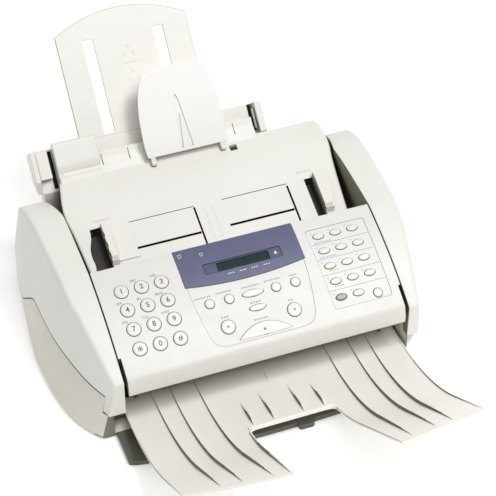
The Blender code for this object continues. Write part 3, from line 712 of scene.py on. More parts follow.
def key_hole(outline, floor):
    """Cutter for a key's opening, with a small chamfer at the surface it opens in."""
    wide = KEY_CLEARANCE + 0.0003
    levels = ((KEY_CLEARANCE, -0.006), (KEY_CLEARANCE, floor - 0.0004), (wide, floor), (wide, 0.004))
    return loft("key_hole", [scaled_ring(outline, grow, z) for grow, z in levels])


def key_cap(name, outline):
    """A softly crowned key with a rounded rim."""
    profile = ((0.0, -KEY_DEPTH), (0.0, KEY_RISE - 0.0010), (-0.00010, KEY_RISE - 0.0006),
               (-0.00035, KEY_RISE - 0.00028), (-0.00075, KEY_RISE - 0.00008), (-0.0013, KEY_RISE),
               (-0.0022, KEY_RISE + 0.00005))
    least = min(math.hypot(x, y) for x, y in outline)
    rings = []
    for grow, z in profile:
        if least + grow > 0.0003:
            rings.append(scaled_ring(outline, grow, z))
    return loft(name, rings)


def text_mesh(characters, size, material, weight, depth=0.00006, embed=0.00025):
    """Raised generic characters centred on the origin, lying in the XY plane."""
    curve = bpy.data.curves.new("characters", "FONT")
    curve.body = characters
    curve.size = size
    curve.align_x = "CENTER"
    curve.align_y = "CENTER"
    curve.extrude = (depth + embed) / 2
    curve.resolution_u = 3
    curve.offset = weight
    words = linked("characters", curve)
    bpy.context.view_layer.update()
    graph = bpy.context.evaluated_depsgraph_get()
    mesh = bpy.data.meshes.new_from_object(words.evaluated_get(graph))
    mesh.transform(Matrix.Translation((0.0, 0.0, (depth - embed) / 2)))
    bpy.data.objects.remove(words, do_unlink=True)
    mesh.materials.clear()
    mesh.materials.append(material)
    return linked("characters", mesh)


def flat_mark(outline, height, material):
    piece = loft("mark", [[(x, y, z) for x, y in outline] for z in (height - 0.0003, height)])
    piece.data.materials.append(material)
    return piece


def key_marks():
    """Printed mark of each key that carries one, by key name."""
    signs = {"star": "*", "hash": "#"}
    marks = {}
    for name in dial_names():
        character = signs.get(name, name)
        size = 0.0125 if name == "star" else 0.0074
        mark = text_mesh(character, size, GREY_INK, 0.00011)
        drop = -0.0026 if name == "star" else 0.0
        mark.data.transform(Matrix.Translation((0.0, drop, KEY_RISE + 0.00003)))
        marks["key_" + name] = [mark]
    top = KEY_RISE + 0.00012
    arrow = [(-0.0016, -0.0012), (0.0004, -0.0012), (0.0016, 0.0), (0.0004, 0.0012), (-0.0016, 0.0012)]
    marks["key_copy"] = [flat_mark(arrow, top, ORANGE_INK)]
    square = rounded(-0.0013, 0.0013, -0.0013, 0.0013, 0.0005)
    marks["key_stop"] = [flat_mark(square, top, ORANGE_INK)]
    diamond = [(-0.0017, 0.0045), (0.0, 0.0030), (0.0017, 0.0045), (0.0, 0.0060)]
    marks["key_start"] = [flat_mark(diamond, top, GREEN_INK)]
    return marks


def make_keys():
    marks = key_marks()
    for name, x, v, outline in key_table():
        cap = key_cap(name + "_finished", outline)
        cap.data.materials.append(GREY_KEY if name == "one_touch_13" else KEY)
        pieces = [cap] + marks.get(name, [])
        whole = join(name + "_finished", pieces)
        stand_on_arc(whole, x, v)
        put_on(whole, name + "_cap", None, [name])


# ---------------------------------------------------------------- operation panel
def console_outline():
    right = [(0.0604, 0.0100), (0.0592, 0.0300), (0.0568, 0.0500), (0.0536, 0.0680), (0.0508, 0.0740),
             (0.0460, 0.0780), (0.0380, 0.0796)]
    return right + [(-x, v) for x, v in reversed(right)]


def inset_outline():
    corners = [(0.0710, -0.0148), (0.1330, -0.0148), (0.1330, 0.0720), (0.0725, 0.0720)]
    return fillet(corners, [0.0035] * 4)


def plate_front(x):
    return 0.0130 + 0.0050 * (1.0 - (x / 0.0612) ** 2)


def display_outline(half, rear, grow):
    front = [(x, plate_front(x) + grow) for x in steps(half, -half, 16)]
    return [(-half, rear), (half, rear)] + front


def display_pocket(floor):
    """Cutter for the recess that the display plate lies in."""
    outline = display_outline(DISPLAY_POCKET_HALF, PANEL_REAR - 0.004, GAP)
    return bent_plate("pocket", outline, floor, 0.006)


def make_panel():
    top = [arc_point(v) for v in steps(PANEL_REAR + 0.0012, PANEL_FRONT - PANEL_ROUND, 44)]
    nose = [arc_point(PANEL_FRONT - PANEL_ROUND), arc_point(PANEL_FRONT + 0.0012), (LIP_FRONT, 0.0655)]
    nose = fillet(nose, [0.0, 0.0070, 0.0], 8)[1:-1]
    lip = [(LIP_FRONT + 0.0001, 0.0640), (LIP_FRONT + 0.0001, LIP_BOTTOM + 0.0010),
           (LIP_FRONT + 0.0008, LIP_BOTTOM), (LIP_FRONT + 0.0036, LIP_BOTTOM),
           (LIP_FRONT + 0.0042, LIP_BOTTOM + 0.0006), (LIP_FRONT + 0.0050, 0.0640)]
    under = [arc_point(v, -PANEL_SKIRT) for v in steps(0.0740, PANEL_REAR, 14)]
    rear = [arc_point(PANEL_REAR, -0.0012), arc_point(PANEL_REAR + 0.0003, -0.0004)]
    panel = prism_x("panel_shell", top + nose + lip + under + rear, -PANEL_HALF, PANEL_HALF, 0.0006)
    roof = [arc_point(v, -0.003) for v in steps(0.0800, PANEL_REAR + 0.003, 20)]
    floor = [arc_point(v, -0.03) for v in steps(PANEL_REAR + 0.003, 0.0740, 6)]
    cut(panel, prism_x("hollow", roof + floor, -PANEL_HALF + 0.003, PANEL_HALF - 0.003))
    for side in (-1, 1):
        edge = side_span(side, PANEL_HALF - GRIP_DEPTH, PANEL_HALF + 0.01)
        grip = [arc_point(GRIP_START, 0.01), arc_point(PANEL_FRONT + 0.02, 0.02), (-0.0900, 0.040),
                arc_point(GRIP_START, -0.04)]
        cut(panel, prism_x("grip", grip, edge[0], edge[1]))
    cut(panel, bent_plate("console", console_outline(), -SKIN_DEPTH, 0.004))
    cut(panel, bent_plate("inset", inset_outline(), -SKIN_DEPTH, 0.004))
    cut(panel, display_pocket(-SKIN_DEPTH))
    window = rounded(-0.0385, 0.0418, -0.0070, 0.0055, 0.001)
    cut(panel, bent_plate("lcd_opening", window, -0.008, 0.006))
    cut(panel, key_holes(-0.0001))
    put_on(panel, "panel", PANEL, ["operation_panel"])


def key_holes(floor):
    holes = [stand_on_arc(key_hole(outline, floor), x, v) for _, x, v, outline in key_table()]
    return join("key_holes", holes)


def make_panel_skins():
    """Thin inlaid fields under the function keys and the one-touch keys."""
    for name, outline in (("console_skin", console_outline()), ("one_touch_skin", inset_outline())):
        skin = bent_plate(name, shrink(outline, 0.00022), -SKIN_DEPTH - 0.0002, SKIN_TOP,
                          chamfer=0.00015)
        cut(skin, display_pocket(-0.004))
        cut(skin, key_holes(SKIN_TOP - 0.0001))
        put_on(skin, "panel", CONSOLE)


def make_display():
    plate = bent_plate("display_plate_film", display_outline(DISPLAY_HALF, PANEL_REAR + 0.0004, 0.0),
                       -0.0008, 0.0005, chamfer=0.0002)
    window = rounded(-0.0383, 0.0416, -0.0066, 0.0051, 0.0022, 6)
    cut(plate, bent_plate("window", window, -0.004, 0.004))
    put_on(plate, "panel", FILM, ["display_plate"])
    rim = rounded(-0.0380, 0.0413, -0.0063, 0.0048, 0.0020, 6)
    bezel = bent_plate("display_bezel_frame", rim, -0.0080, 0.0001, chamfer=0.0003)
    sight = rounded(-0.0250, 0.0290, -0.0050, 0.0044, 0.0004)
    cut(bezel, bent_plate("sight", sight, -0.0016, 0.004))
    put_on(bezel, "panel", BEZEL, ["lcd_module"])
    glass = bent_plate("display_glass_pane", shrink(sight, 0.0002), -0.0018, -0.0012)
    put_on(glass, "panel", GLASS)


# ---------------------------------------------------------------- printed marks
def bar_mark(x0, x1, v0, v1, lift, material):
    piece = bent_plate("bar", rectangle(x0, x1, v0, v1), lift - 0.0002, lift + 0.00004)
    piece.data.materials.append(material)
    return piece


def legend(x, v, width, lift, material, height=0.0009):
    """A few short strokes that stand for a printed word."""
    marks = []
    count = max(2, int(width / 0.0022))
    pitch = width / count
    for i in range(count):
        left = x - width / 2 + i * pitch
        marks.append(bar_mark(left, left + pitch * 0.62, v - height / 2, v + height / 2, lift,
                              material))
    return marks


def make_print():
    marks = []
    letters = {1: "ABC", 2: "DEF", 3: "GHI", 4: "JKL", 5: "MNO", 6: "PRS", 7: "TUV", 8: "WXY"}
    for index, word in letters.items():
        x, v = dial_place(index)
        letters_mesh = text_mesh(word, 0.0034, PALE_INK, 0.00008)
        marks.append(stand_on_arc(letters_mesh, x - 0.0060, v - 0.0086))
    for x, v, width in ((-0.0485, 0.0268, 0.018), (-0.0270, 0.0262, 0.016), (0.0, 0.0270, 0.018),
                        (0.0225, 0.0262, 0.017), (0.0440, 0.0268, 0.008), (0.0, 0.0440, 0.011),
                        (-0.0337, 0.0510, 0.008), (0.0337, 0.0510, 0.006), (0.0, 0.0612, 0.015)):
        marks += legend(x, v, width, SKIN_TOP, PALE_INK, 0.0014)
    for row in range(5):
        for column in range(3):
            if row * 3 + column < 14:
                x, v = one_touch_place(row * 3 + column)
                marks += legend(x - 0.0062, v - 0.0046, 0.0026, SKIN_TOP, PALE_INK, 0.0008)
        if row < 4:
            line = ONE_TOUCH_V + ONE_TOUCH_PITCH[1] * row + 0.0088
            marks.append(bar_mark(0.0725, 0.1315, line - 0.00025, line + 0.00025, SKIN_TOP, BLUE_INK))
    for row in (0, 1):
        line = ONE_TOUCH_V + ONE_TOUCH_PITCH[1] * row + 0.0070
        marks += legend(0.0850, line, 0.018, SKIN_TOP, BLUE_INK, 0.0011)
    for drop in (0.0388, 0.0556):
        marks += legend(0.0850, ONE_TOUCH_V + drop, 0.010, SKIN_TOP, PALE_INK)
    put_on(join("panel_print", marks), "panel", None)


def outline_mark(x, v, size, material):
    """Small open square with a folded corner, the plain sign for a sheet of paper."""
    corners = [(-size, -size * 1.2), (size, -size * 1.2), (size, size * 0.6), (size * 0.4, size * 1.2),
               (-size, size * 1.2)]
    outer = [(x + a, v + b) for a, b in corners]
    inner = shrink(outer, 0.00045)
    piece = bent_plate("sheet_sign", outer, 0.0003, 0.00056)
    cut(piece, bent_plate("sheet_hole", inner, 0.0, 0.001))
    piece.data.materials.clear()
    piece.data.materials.append(material)
    return piece


def make_display_print():
    lift = 0.0005
    marks = []
    for x in (-0.0130, -0.0010, 0.0110, 0.0235):
        marks += legend(x, 0.0092, 0.0075, lift, WHITE_INK, 0.0010)
    marks.append(outline_mark(-0.0560, -0.0215, 0.0017, WHITE_INK))
    marks.append(outline_mark(-0.0350, -0.0180, 0.0015, WHITE_INK))
    put_on(join("display_print", marks), "panel", None)
    warning = [(0.0335, 0.0008), (0.0375, 0.0008), (0.0355, -0.0028)]
    lamp = bent_plate("display_lamp_mark", warning, -0.0002, 0.00016)
    put_on(lamp, "panel", WHITE_INK)


# ---------------------------------------------------------------- side covers
RIM_PLAN = [(-0.0790, 0.1560), (-0.0520, 0.1613), (-0.0150, 0.1680), (0.0050, 0.1720),
            (0.0590, 0.1755), (0.1190, 0.1780), (0.1585, 0.1805)]
SEAM_PLAN = [(-0.0755, 0.1580), (-0.0460, 0.1706), (-0.0085, 0.1803), (0.0300, 0.1867),
             (0.0820, 0.1896), (0.1230, 0.1915), (0.1690, 0.1860)]
BOTTOM_PLAN = [(-0.0755, 0.1695), (-0.0490, 0.1860), (-0.0200, 0.1950), (0.0150, 0.1998),
               (0.0540, 0.2010), (0.1080, 0.1955), (0.1780, 0.1870)]
BOTTOM_RIGHT = [(-0.0755, 0.1580), (-0.0490, 0.1720), (-0.0200, 0.1850), (0.0150, 0.1950),
                (0.0540, 0.2010), (0.1080, 0.1955), (0.1780, 0.1870)]
SEAM_DROP = [(0.0760, SEAM_Z), (0.0860, 0.0490), (0.1000, 0.0380), (0.1200, 0.0205), (0.1400, 0.0115),
             (0.1585, 0.0080)]
CHEEK_TOP = [(0.0270, 0.1210), (0.0600, 0.1228), (0.0980, 0.1238), (0.1190, 0.1222),
             (0.1370, 0.1180), (0.1585, 0.1085)]
LEG_LINE = [(-0.0702, CHEEK_LEG_Z), (-0.0694, CHEEK_LEG_Z + 0.0025), (-0.0690, CHEEK_LEG_Z + 0.0090),
            (-0.0686, SEAM_Z - 0.0020), (-0.0676, SEAM_Z)]


def cheek_top(y):
    if y < CHEEK_TOP[0][0]:
        return ARC_Z + math.sqrt(ARC_RADIUS ** 2 - (y - ARC_Y) ** 2)
    return along(CHEEK_TOP, y)


def seam_height(y):
    """Height of the seam between a side cover and the base: level, and swept down at the rear."""
    return straight(LEG_LINE, y) if y < SEAM_DROP[0][0] else along(SEAM_DROP, y)


def base_half(foot, y, z):
    share = min(1.0, max(0.0, (z - 0.005) / (SEAM_Z - 0.005)))
    return along(blended_plan(foot, share), y)


def lean_back(y, z):
    """How far the rear end of a side cover leans backwards at height z."""
    return max(0.0, (0.1085 - z) * 0.184 * max(0.0, (y - 0.150) / 0.0085))


def cheek_ring(y, side, pull=0.0):
    """Rounded cross-section of a side cover; pull shrinks it for the eased front and rear ends."""
    top = cheek_top(y) - pull
    low = seam_height(y) + SEAM_GAP
    inner = straight([(0.115, CHEEK_INNER), (0.1585, 0.1530)], y) + pull * 0.5
    rim = along(RIM_PLAN, y)
    waist = max(low, SEAM_Z) + SEAM_GAP * 0.5
    seam = max(along(SEAM_PLAN, y), rim + 0.0016)
    broad = lerp(rim, seam, min(1.0, (top - waist) / (top - SEAM_Z)))
    foot = BOTTOM_PLAN if side < 0 else BOTTOM_RIGHT
    flank = max(base_half(foot, y + lean_back(y, low), low), broad)
    corners = [(inner, low), (inner, top), (rim - pull, top), (broad - pull, waist + 0.0002),
               (flank - pull, low)]
    ring = []
    for x, z in fillet(corners, [0.0, 0.0016, 0.0042, 0.0, 0.0], 6):
        ring.append((side * x, y + lean_back(y, z), z))
    return ring


def make_side_cover(name, side, node):
    depths = [(-0.0790, 0.0016), (-0.0786, 0.0006), (-0.0777, 0.0), (-0.0740, 0.0), (-0.0702, 0.0)]
    depths += [(y, 0.0) for y, _ in LEG_LINE[1:]]
    depths += [(y, 0.0) for y in steps(-0.0640, 0.1540, 46)]
    depths += [(0.1568, 0.0), (0.1580, 0.0008), (0.1585, 0.0020)]
    cover = loft(name, [cheek_ring(y, side, pull) for y, pull in depths])
    put_on(cover, "machine", SHELL, [node], 40.0)
    # Painted shade on the inner walls, the ones that face the middle of the machine.
    paint(cover, RECESS_SHADE, lambda at, facing: abs(facing.x) > 0.8 and facing.x * side < 0.0)


# ---------------------------------------------------------------- base
def plan_half(plan, z, inset):
    points = [(along(plan, y) - inset, y, z) for y in steps(plan[0][0], plan[-1][0], 30)]
    first = points[0]
    last = points[-1]
    front = [(first[0] - 0.0030, first[1] - 0.0004 + inset, z),
             (first[0] - 0.0008, first[1] + 0.0004 + inset, z)]
    rear = [(last[0] - 0.0010, last[1] - 0.0003 - inset, z), (last[0] - 0.0040, last[1] - inset, z)]
    return front + points[1:-1] + rear


def plan_ring(share, z, inset=0.0):
    """Ring round the base at height z; share runs from the foot's plan to the seam's plan."""
    left = plan_half(blended_plan(BOTTOM_PLAN, share), z, inset)
    mirrored = [(-x, y, height) for x, y, height in reversed(left)]
    return plan_half(blended_plan(BOTTOM_RIGHT, share), z, inset) + mirrored


def blended_plan(foot, share):
    rows = []
    for (y0, w0), (y1, w1) in zip(foot, SEAM_PLAN):
        rows.append((lerp(y0, y1, share), lerp(w0, w1, share)))
    return rows


def make_base():
    rings = [plan_ring(0.0, 0.0, 0.0040), plan_ring(0.0, 0.0006, 0.0026), plan_ring(0.0, 0.0020, 0.0011),
             plan_ring(0.0, 0.0050, 0.0002)]
    for share in (0.25, 0.5, 0.75):
        rings.append(plan_ring(share, lerp(0.005, SEAM_Z, share)))
    rings += [plan_ring(1.0, SEAM_Z - 0.0008), plan_ring(1.0, SEAM_Z, 0.0007)]
    base = loft("base_shell", rings)
    cavity = [plan_ring(0.0, 0.006, 0.0040), plan_ring(1.0, SEAM_Z, 0.0036),
              plan_ring(1.0, 0.070, 0.0036)]
    for ring in cavity:
        for i, (x, y, z) in enumerate(ring):
            ring[i] = (min(x, 0.1430) if y < -0.0370 else x, max(y, -0.0565), z)
    cut(base, loft("cavity", cavity))
    relief = [(-0.0900, CHEEK_LEG_Z), (-0.0775, CHEEK_LEG_Z), (-0.0420, -0.0010),
              (-0.0900, -0.0010)]
    cut(base, prism_x("right_relief", relief, 0.1470, 0.2100))
    cut(base, box("paper_mouth", (-0.1565, -0.100, 0.0071), (0.1454, -0.0600, 0.0800)))
    cut(base, box("tray_ledge", (-0.1450, -0.0620, 0.0184), (0.1450, -0.0440, 0.080)))
    for side in (-1, 1):
        step = [(-0.090, CHEEK_LEG_Z - SEAM_GAP), (-0.0698, CHEEK_LEG_Z - SEAM_GAP),
                (-0.0690, CHEEK_LEG_Z + 0.0020), (-0.0683, SEAM_Z - 0.0025), (-0.0675, 0.060),
                (-0.090, 0.060)]
        cut(base, prism_x("leg_step", step, *side_span(side, 0.150, 0.200)))
    cut(base, box("jack_opening", (0.0900, 0.150, 0.0100), (0.1500, 0.190, 0.0450)))
    drop = [(y + lean_back(y, seam_height(y)), seam_height(y) - GAP)
            for y in steps(SEAM_DROP[0][0], 0.1585, 16)]
    drop += [(0.2000, drop[-1][1]), (0.2000, 0.0600), (drop[0][0], 0.0600)]
    for low, high in ((-0.2100, -0.1510), (0.1510, 0.2100)):
        cut(base, prism_x("rear_step", drop, low, high))
    for side in (-1, 1):
        fuse(base, upright(side))
    put_on(base, "machine", BASE, ["base_case"], 34.0)
    # Painted shade on the base's front-facing faces under the panel and side covers.
    paint(base, RECESS_SHADE, lambda at, facing: at.y < -0.0500 and facing.y < -0.6 and at.z > 0.001)
    # Painted shade: upward faces out at the base's sides, its top edge at the seam, are near-black to show
    # the shaded gap under the side covers.
    paint(base, DARK_AND_SHADE, lambda at, facing: abs(at.x) > 0.1500 and facing.z > 0.6)
    make_front_ledge()


def make_front_ledge():
    """Dark step under the tray, with a small foot in front; its colour is dark plastic darkened further as
    painted shade from the tray.
    """
    ledge_front = []
    for i in range(29):
        turn = math.pi * i / 28
        ledge_front.append((-0.011 + 0.144 * math.cos(turn), -0.113 - 0.012 * math.sin(turn)))
    outline = [(0.1330, -0.0590)] + ledge_front + [(-0.1550, -0.0590)]
    rings = []
    for z, inset in ((0.0002, 0.0012), (0.0012, 0.0002), (0.0058, 0.0), (0.0068, 0.0004), (0.0070, 0.0012)):
        rings.append([(x, y, z) for x, y in shrink(outline, inset)])
    ledge = loft("front_ledge", rings)
    foot = fillet([(0.0120, -0.1180), (0.0120, -0.1290), (0.0280, -0.1290), (0.0280, -0.1180)],
                  [0.0, 0.003, 0.003, 0.0])
    fuse(ledge, loft("ledge_foot", [[(x, y, z) for x, y in foot] for z in (0.0003, 0.0062)]))
    # Dark plastic with painted shade from the tray above.
    put_on(ledge, "machine", LEDGE_DARK_AND_SHADE)


def upright(side):
    """Inner side frame that carries the shafts."""
    profile = [(-0.0520, 0.0040), (0.1480, 0.0040), (0.1480, 0.1100), (0.1240, 0.1100),
               (0.1100, 0.0780), (0.0350, 0.0780), (0.0100, 0.0640), (-0.0520, 0.0480)]
    edge = side_span(side, 0.1260, 0.1290)
    wall = prism_x("upright", profile, edge[0], edge[1])
    for centre, radius in ((EXIT_SHAFT, 0.0033), (PICKUP_SHAFT, 0.0033), (CARRIAGE_ROD, 0.0043)):
        ends = [(edge[0] - 0.01, radius), (edge[1] + 0.01, radius)]
        cut(wall, bar_x("shaft_hole", centre, ends, 24))
    return wall


# ---------------------------------------------------------------- top cover
COVER_TOP = [(-0.0700, 0.0600), (-0.0300, 0.0665), (0.0200, 0.0790), (0.0440, 0.0880),
             (0.0690, 0.0980), (0.0970, 0.1090), (0.1150, 0.1170), (0.1300, 0.1230),
             (0.1450, 0.1275), (0.1605, 0.1305)]
COVER_HALF = [(0.0200, 0.1350), (0.0440, 0.1355), (0.0690, 0.1375), (0.0970, 0.1405),
              (0.1150, 0.1435), (0.1300, 0.1420), (0.1450, 0.1390), (0.1605, 0.1360)]
COVER_RIGHT = [(0.0200, 0.1350), (0.0440, 0.1355), (0.0690, 0.1375), (0.0970, 0.1405),
               (0.1140, 0.1425), (0.1260, 0.1444), (0.1400, 0.1450), (0.1520, 0.1440), (0.1605, 0.1420)]
COVER_SKIRT = [(0.0200, 0.006), (0.0440, 0.0100), (0.0690, 0.0180), (0.0970, 0.0280), (0.1605, 0.0500)]


def cover_top(y):
    return along(COVER_TOP, y)


def cover_right(y):
    """Right half width of the cover, with its rounded rear corner."""
    turn = min(1.0, max(0.0, (y - 0.1580) / 0.0026))
    return along(COVER_RIGHT, y) - 0.0020 * (1.0 - math.sqrt(1.0 - turn ** 2))


def cover_ring(y, inset=0.0, drop=0.0, ease=0.0028):
    top = cover_top(y) - inset
    half = along(COVER_HALF, y) - inset
    right = cover_right(y) - inset
    low = cover_top(y) - straight(COVER_SKIRT, y) - drop
    corners = [(-half, low), (-half, top), (right, top), (right, low)]
    radii = [0.0, ease, ease, 0.0]
    return [(x, y, z) for x, z in fillet(corners, radii, 5)]


def cover_strip(name, x0, x1, y0, y1, low, high, edge=0.0):
    """A cutter or bar that follows the cover's slope between two depths."""
    depths = steps(y0, y1, max(2, int((y1 - y0) / 0.004)))
    outline = [(y, cover_top(y) + low) for y in depths]
    outline += [(y, cover_top(y) + high) for y in reversed(depths)]
    return prism_x(name, outline, x0, x1, edge)


def wavy_pocket():
    """Cutter for the finger pocket beside the left guide, with its scalloped outer edge."""
    outer = [(0.0400, -0.1300), (0.0520, -0.1303), (0.0620, -0.1288), (0.0710, -0.1296), (0.0800, -0.1284),
             (0.0900, -0.1246), (0.0985, -0.1232)]
    depths = steps(0.0400, 0.0985, 24)
    edge = [(along(outer, y), y) for y in depths]
    plan = edge + [(-0.1118, y) for y in reversed(depths)]
    rings = []
    for lift in (-0.008, 0.02):
        rings.append([(x, y, cover_top(y) + lift) for x, y in plan])
    return loft("finger_pocket", rings)


def make_shoulder():
    """Rounded block over the left end of the paper slot."""
    section = fillet([(-0.0040, 0.0035), (0.0345, 0.0035), (0.0345, -0.0050), (0.0060, -0.0050)],
                     [0.0, 0.0, 0.0090, 0.0060], 8)
    foot = [(0.1560, 0.1330), (0.1530, 0.1306), (0.1505, cover_top(0.1505) - 0.0010)]
    outline = feed_outline(section) + foot
    block = prism_x("shoulder", outline, -0.1353, -0.0905)
    return bevel(block, 0.0040, 5, 60.0)


def make_lip():
    """Front wall of the paper slot, swept up out of the cover with a soft hollow."""
    front = [(0.1540, cover_top(0.1540) - 0.0012), (0.1556, cover_top(0.1556) + 0.0002), (0.1578, 0.1311),
             (0.1600, 0.1326), (0.1620, 0.1343), feed_point(0.0075, 0.0)]
    tip = fillet(feed_outline(rectangle(0.0100, LIP_HEIGHT, 0.0, LIP_THICK)),
                 [0.0, 0.0012, 0.0012, 0.0])
    foot = [feed_point(-0.0010, LIP_THICK), (0.1590, 0.1279), (0.1535, 0.1268)]
    lip = prism_x("rear_lip", front + tip + foot, -0.1308, 0.0745)
    for index in range(6):
        x = -0.0880 + 0.0283 * index
        slit = feed_outline(rectangle(0.0022, 0.0140, -0.004, 0.0012))
        cut(lip, prism_x("slit", slit, x - 0.00045, x + 0.00045))
    return lip


def make_top_cover():
    depths = [-0.0700, -0.0692] + steps(-0.0680, 0.1500, 56)
    depths += [0.1530, 0.1560, 0.1585, 0.1598, 0.1605]
    rings = []
    for y in depths:
        pull = 0.0
        if y > 0.1500:
            pull = 0.0015 * ((y - 0.1500) / 0.0105) ** 2
        drop = 0.0012 if y == 0.1605 else 0.0
        rings.append([(x * (1.0 - pull / 0.136), depth, z - drop) for x, depth, z in cover_ring(y)])
    cover = loft("upper_cover", rings)
    hollow = [cover_ring(y, 0.003, 0.02) for y in steps(-0.0670, 0.1575, 30)]
    cut(cover, loft("hollow", hollow))
    cut(cover, box("paper_window", (-0.1330, 0.1560, 0.060), (0.0893, 0.170, 0.1272)))
    fuse(cover, make_lip())
    fuse(cover, make_shoulder())
    cut(cover, wavy_pocket())
    cut(cover, cover_strip("guide_slot", 0.1040, 0.1140, 0.0350, GUIDE_REAR, -0.008, 0.02))
    for x0, x1, y0, y1, deep in cover_grooves():
        cut(cover, cover_strip("groove", x0, x1, y0, y1, -deep, 0.01))
    cut(cover, box("rest_recess", (0.0425, 0.1452, 0.1240), (0.0505, 0.1525, 0.1400)))
    for side in (-1, 1):
        edge = side_span(side, 0.1335, 0.1390)
        ear = box("ear", (edge[0], 0.0100, 0.0700), (edge[1], 0.0220, 0.1120))
        ends = [(edge[0] - 0.002, 0.0033), (edge[1] + 0.002, 0.0033)]
        cut(ear, bar_x("bearing", DOCUMENT_SHAFT, ends, 24))
        fuse(cover, ear)
    put_on(cover, "upper_unit", SHELL, ["top_cover"], 30.0)
    # Painted shade: the cover's outer skirt sides, down in the gaps beside the side covers, are near-black.
    paint(cover, DARK_AND_SHADE, lambda at, facing: (abs(facing.x) > 0.9 and abs(at.x) > 0.130
                                           and at.z < cover_top(at.y) - 0.004))
    # Painted shade: the pressed grooves are near-black inside.
    paint(cover, DARK_AND_SHADE, lambda at, facing: in_groove(at))
    # Painted shade: walls beside the guide slots that face -x get a painted shadow tone.
    paint(cover, SIDE_SHADE, lambda at, facing: (facing.x < -0.9 and -0.1125 < at.x < 0.1145
                                           and abs(at.x) > 0.1100))
    # Painted shade: front-facing walls of the fine lines near the guides' rear are near-black.
    paint(cover, DARK_AND_SHADE, lambda at, facing: facing.y < -0.6 and 0.0960 < at.y < 0.1000)


def make_pocket_liners():
    """Side walls and floors under the two pockets beside the guides, near-black as painted shade, with a
    painted shadow tone on the walls that face -x.
    """
    parts = []
    for low, high in ((-0.1310, -0.1118), (0.1030, 0.1140)):
        for name, x0, x1, top in (("side", high + 0.0001, high + 0.0012, -0.0032),
                                  ("floor", low, high, -0.0088)):
            parts.append(cover_strip(name, x0, x1, POCKET_FRONT, GUIDE_REAR, POCKET_FLOOR, top))
    liners = put_on(join("pocket_liners", parts), "upper_unit", DARK_AND_SHADE)
    # Painted shade: the liner walls that face -x get a painted shadow tone.
    paint(liners, SIDE_SHADE, lambda at, facing: facing.x < -0.9)


def cover_grooves():
    """x0, x1, y0, y1 and depth of the lines pressed into the cover."""
    return [(-0.0865, -0.0165, 0.0680, 0.0703, 0.0060), (0.0140, 0.0833, 0.0680, 0.0703, 0.0060),
            (-0.0161, -0.0141, 0.0420, 0.0960, 0.0060), (0.0837, 0.0858, 0.0350, 0.0950, 0.0060),
            (-0.1040, -0.0150, 0.0967, 0.0974, 0.0008), (0.0150, 0.0850, 0.0967, 0.0974, 0.0008)]


# Picks the faces inside the pressed grooves, which get painted shade.
def in_groove(at):
    if at.z > cover_top(at.y) - 0.0006 or at.z < cover_top(at.y) - 0.0034:
        return False
    reach = 0.0002
    return any(x0 - reach < at.x < x1 + reach and y0 - reach < at.y < y1 + reach
               for x0, x1, y0, y1, _ in cover_grooves())


def make_cover_marks():
    """Paper-width ticks and the raised sheet sign between the two pads."""
    marks = []
    for start in (-0.1165, 0.0995):
        for i in range(8):
            x = start + 0.0021 * i
            tick = cover_strip("tick", x, x + 0.0004, 0.1040, 0.1064, -0.0003, 0.00008)
            tick.data.materials.append(PALE_INK)
            marks.append(tick)
    outline = [(-0.0050, 0.0610), (0.0036, 0.0610), (0.0036, 0.0905), (0.0010, 0.0940), (-0.0050, 0.0940)]
    for (x0, y0), (x1, y1) in zip(outline, outline[1:] + outline[:1]):
        side = Vector((y1 - y0, x0 - x1)).normalized() * 0.0003
        line = [(lerp(x0, x1, share), lerp(y0, y1, share)) for share in steps(0.0, 1.0, 6)]
        plan = [(x + side.x, y + side.y) for x, y in line]
        plan += [(x - side.x, y - side.y) for x, y in reversed(line)]
        rings = [[(x, y, cover_top(y) + lift) for x, y in plan] for lift in (-0.0004, 0.0003)]
        stroke = loft("stroke", rings)
        stroke.data.materials.append(SHELL)
        marks.append(stroke)
    put_on(join("cover_marks", marks), "upper_unit", None)


# ---------------------------------------------------------------- document guides and rests
def make_guides():
    heights = [(GUIDE_FRONT, 0.0074), (0.0610, 0.0083), (0.0750, 0.0089), (0.0920, 0.0090),
               (GUIDE_REAR, 0.0078)]
    depths = steps(GUIDE_FRONT, GUIDE_REAR, 24)
    outline = [(y, cover_top(y) + GAP) for y in depths]
    outline += [(y, cover_top(y) + along(heights, y)) for y in reversed(depths)]
    for side, body, node in ((-1, "document_guide_left", "left_document_guide"),
                             (1, "document_guide_right", "right_document_guide")):
        inner, outer = GUIDE_WALLS[side]
        guide = prism_x(node + "_fence", outline, inner, outer, 0.0007)
        if side > 0:
            taper = [(outer - GUIDE_TAPER, GUIDE_FRONT - 0.001), (outer + 0.001, GUIDE_REAR + 0.001),
                     (outer + 0.001, GUIDE_FRONT - 0.001)]
            cut(guide, loft("taper", [[(x, y, z) for x, y in taper] for z in (0.0800, 0.1400)]))
            mark = (inner + 0.0012, outer - GUIDE_TAPER - 0.0012)
        else:
            fuse(guide, cover_strip("foot", outer - 0.002, GUIDE_PLATE, 0.0600, 0.0965, GAP, 0.0015,
                                    0.0003))
            for centre in (0.0640, 0.0750, 0.0860):
                height = cover_top(centre) + 0.0052
                scallop = [(centre + y, height + z) for y, z in oval(0.0048, 0.0038, 24)]
                cut(guide, prism_x("scallop", scallop, inner - 0.002, inner + 0.0008))
            mark = (inner + 0.0012, outer - 0.0012)
        put_on(guide, body, SHELL, [node], 30.0)
        # Painted shade: the guide's walls that face -x get a painted shadow tone.
        paint(guide, SIDE_SHADE, lambda at, facing: facing.x < -0.8)
        stroke = cover_strip(node + "_mark", *mark, GUIDE_FRONT + 0.0010, GUIDE_FRONT + 0.0040,
                             0.0060, 0.00835)
        put_on(stroke, body, TAN_INK)


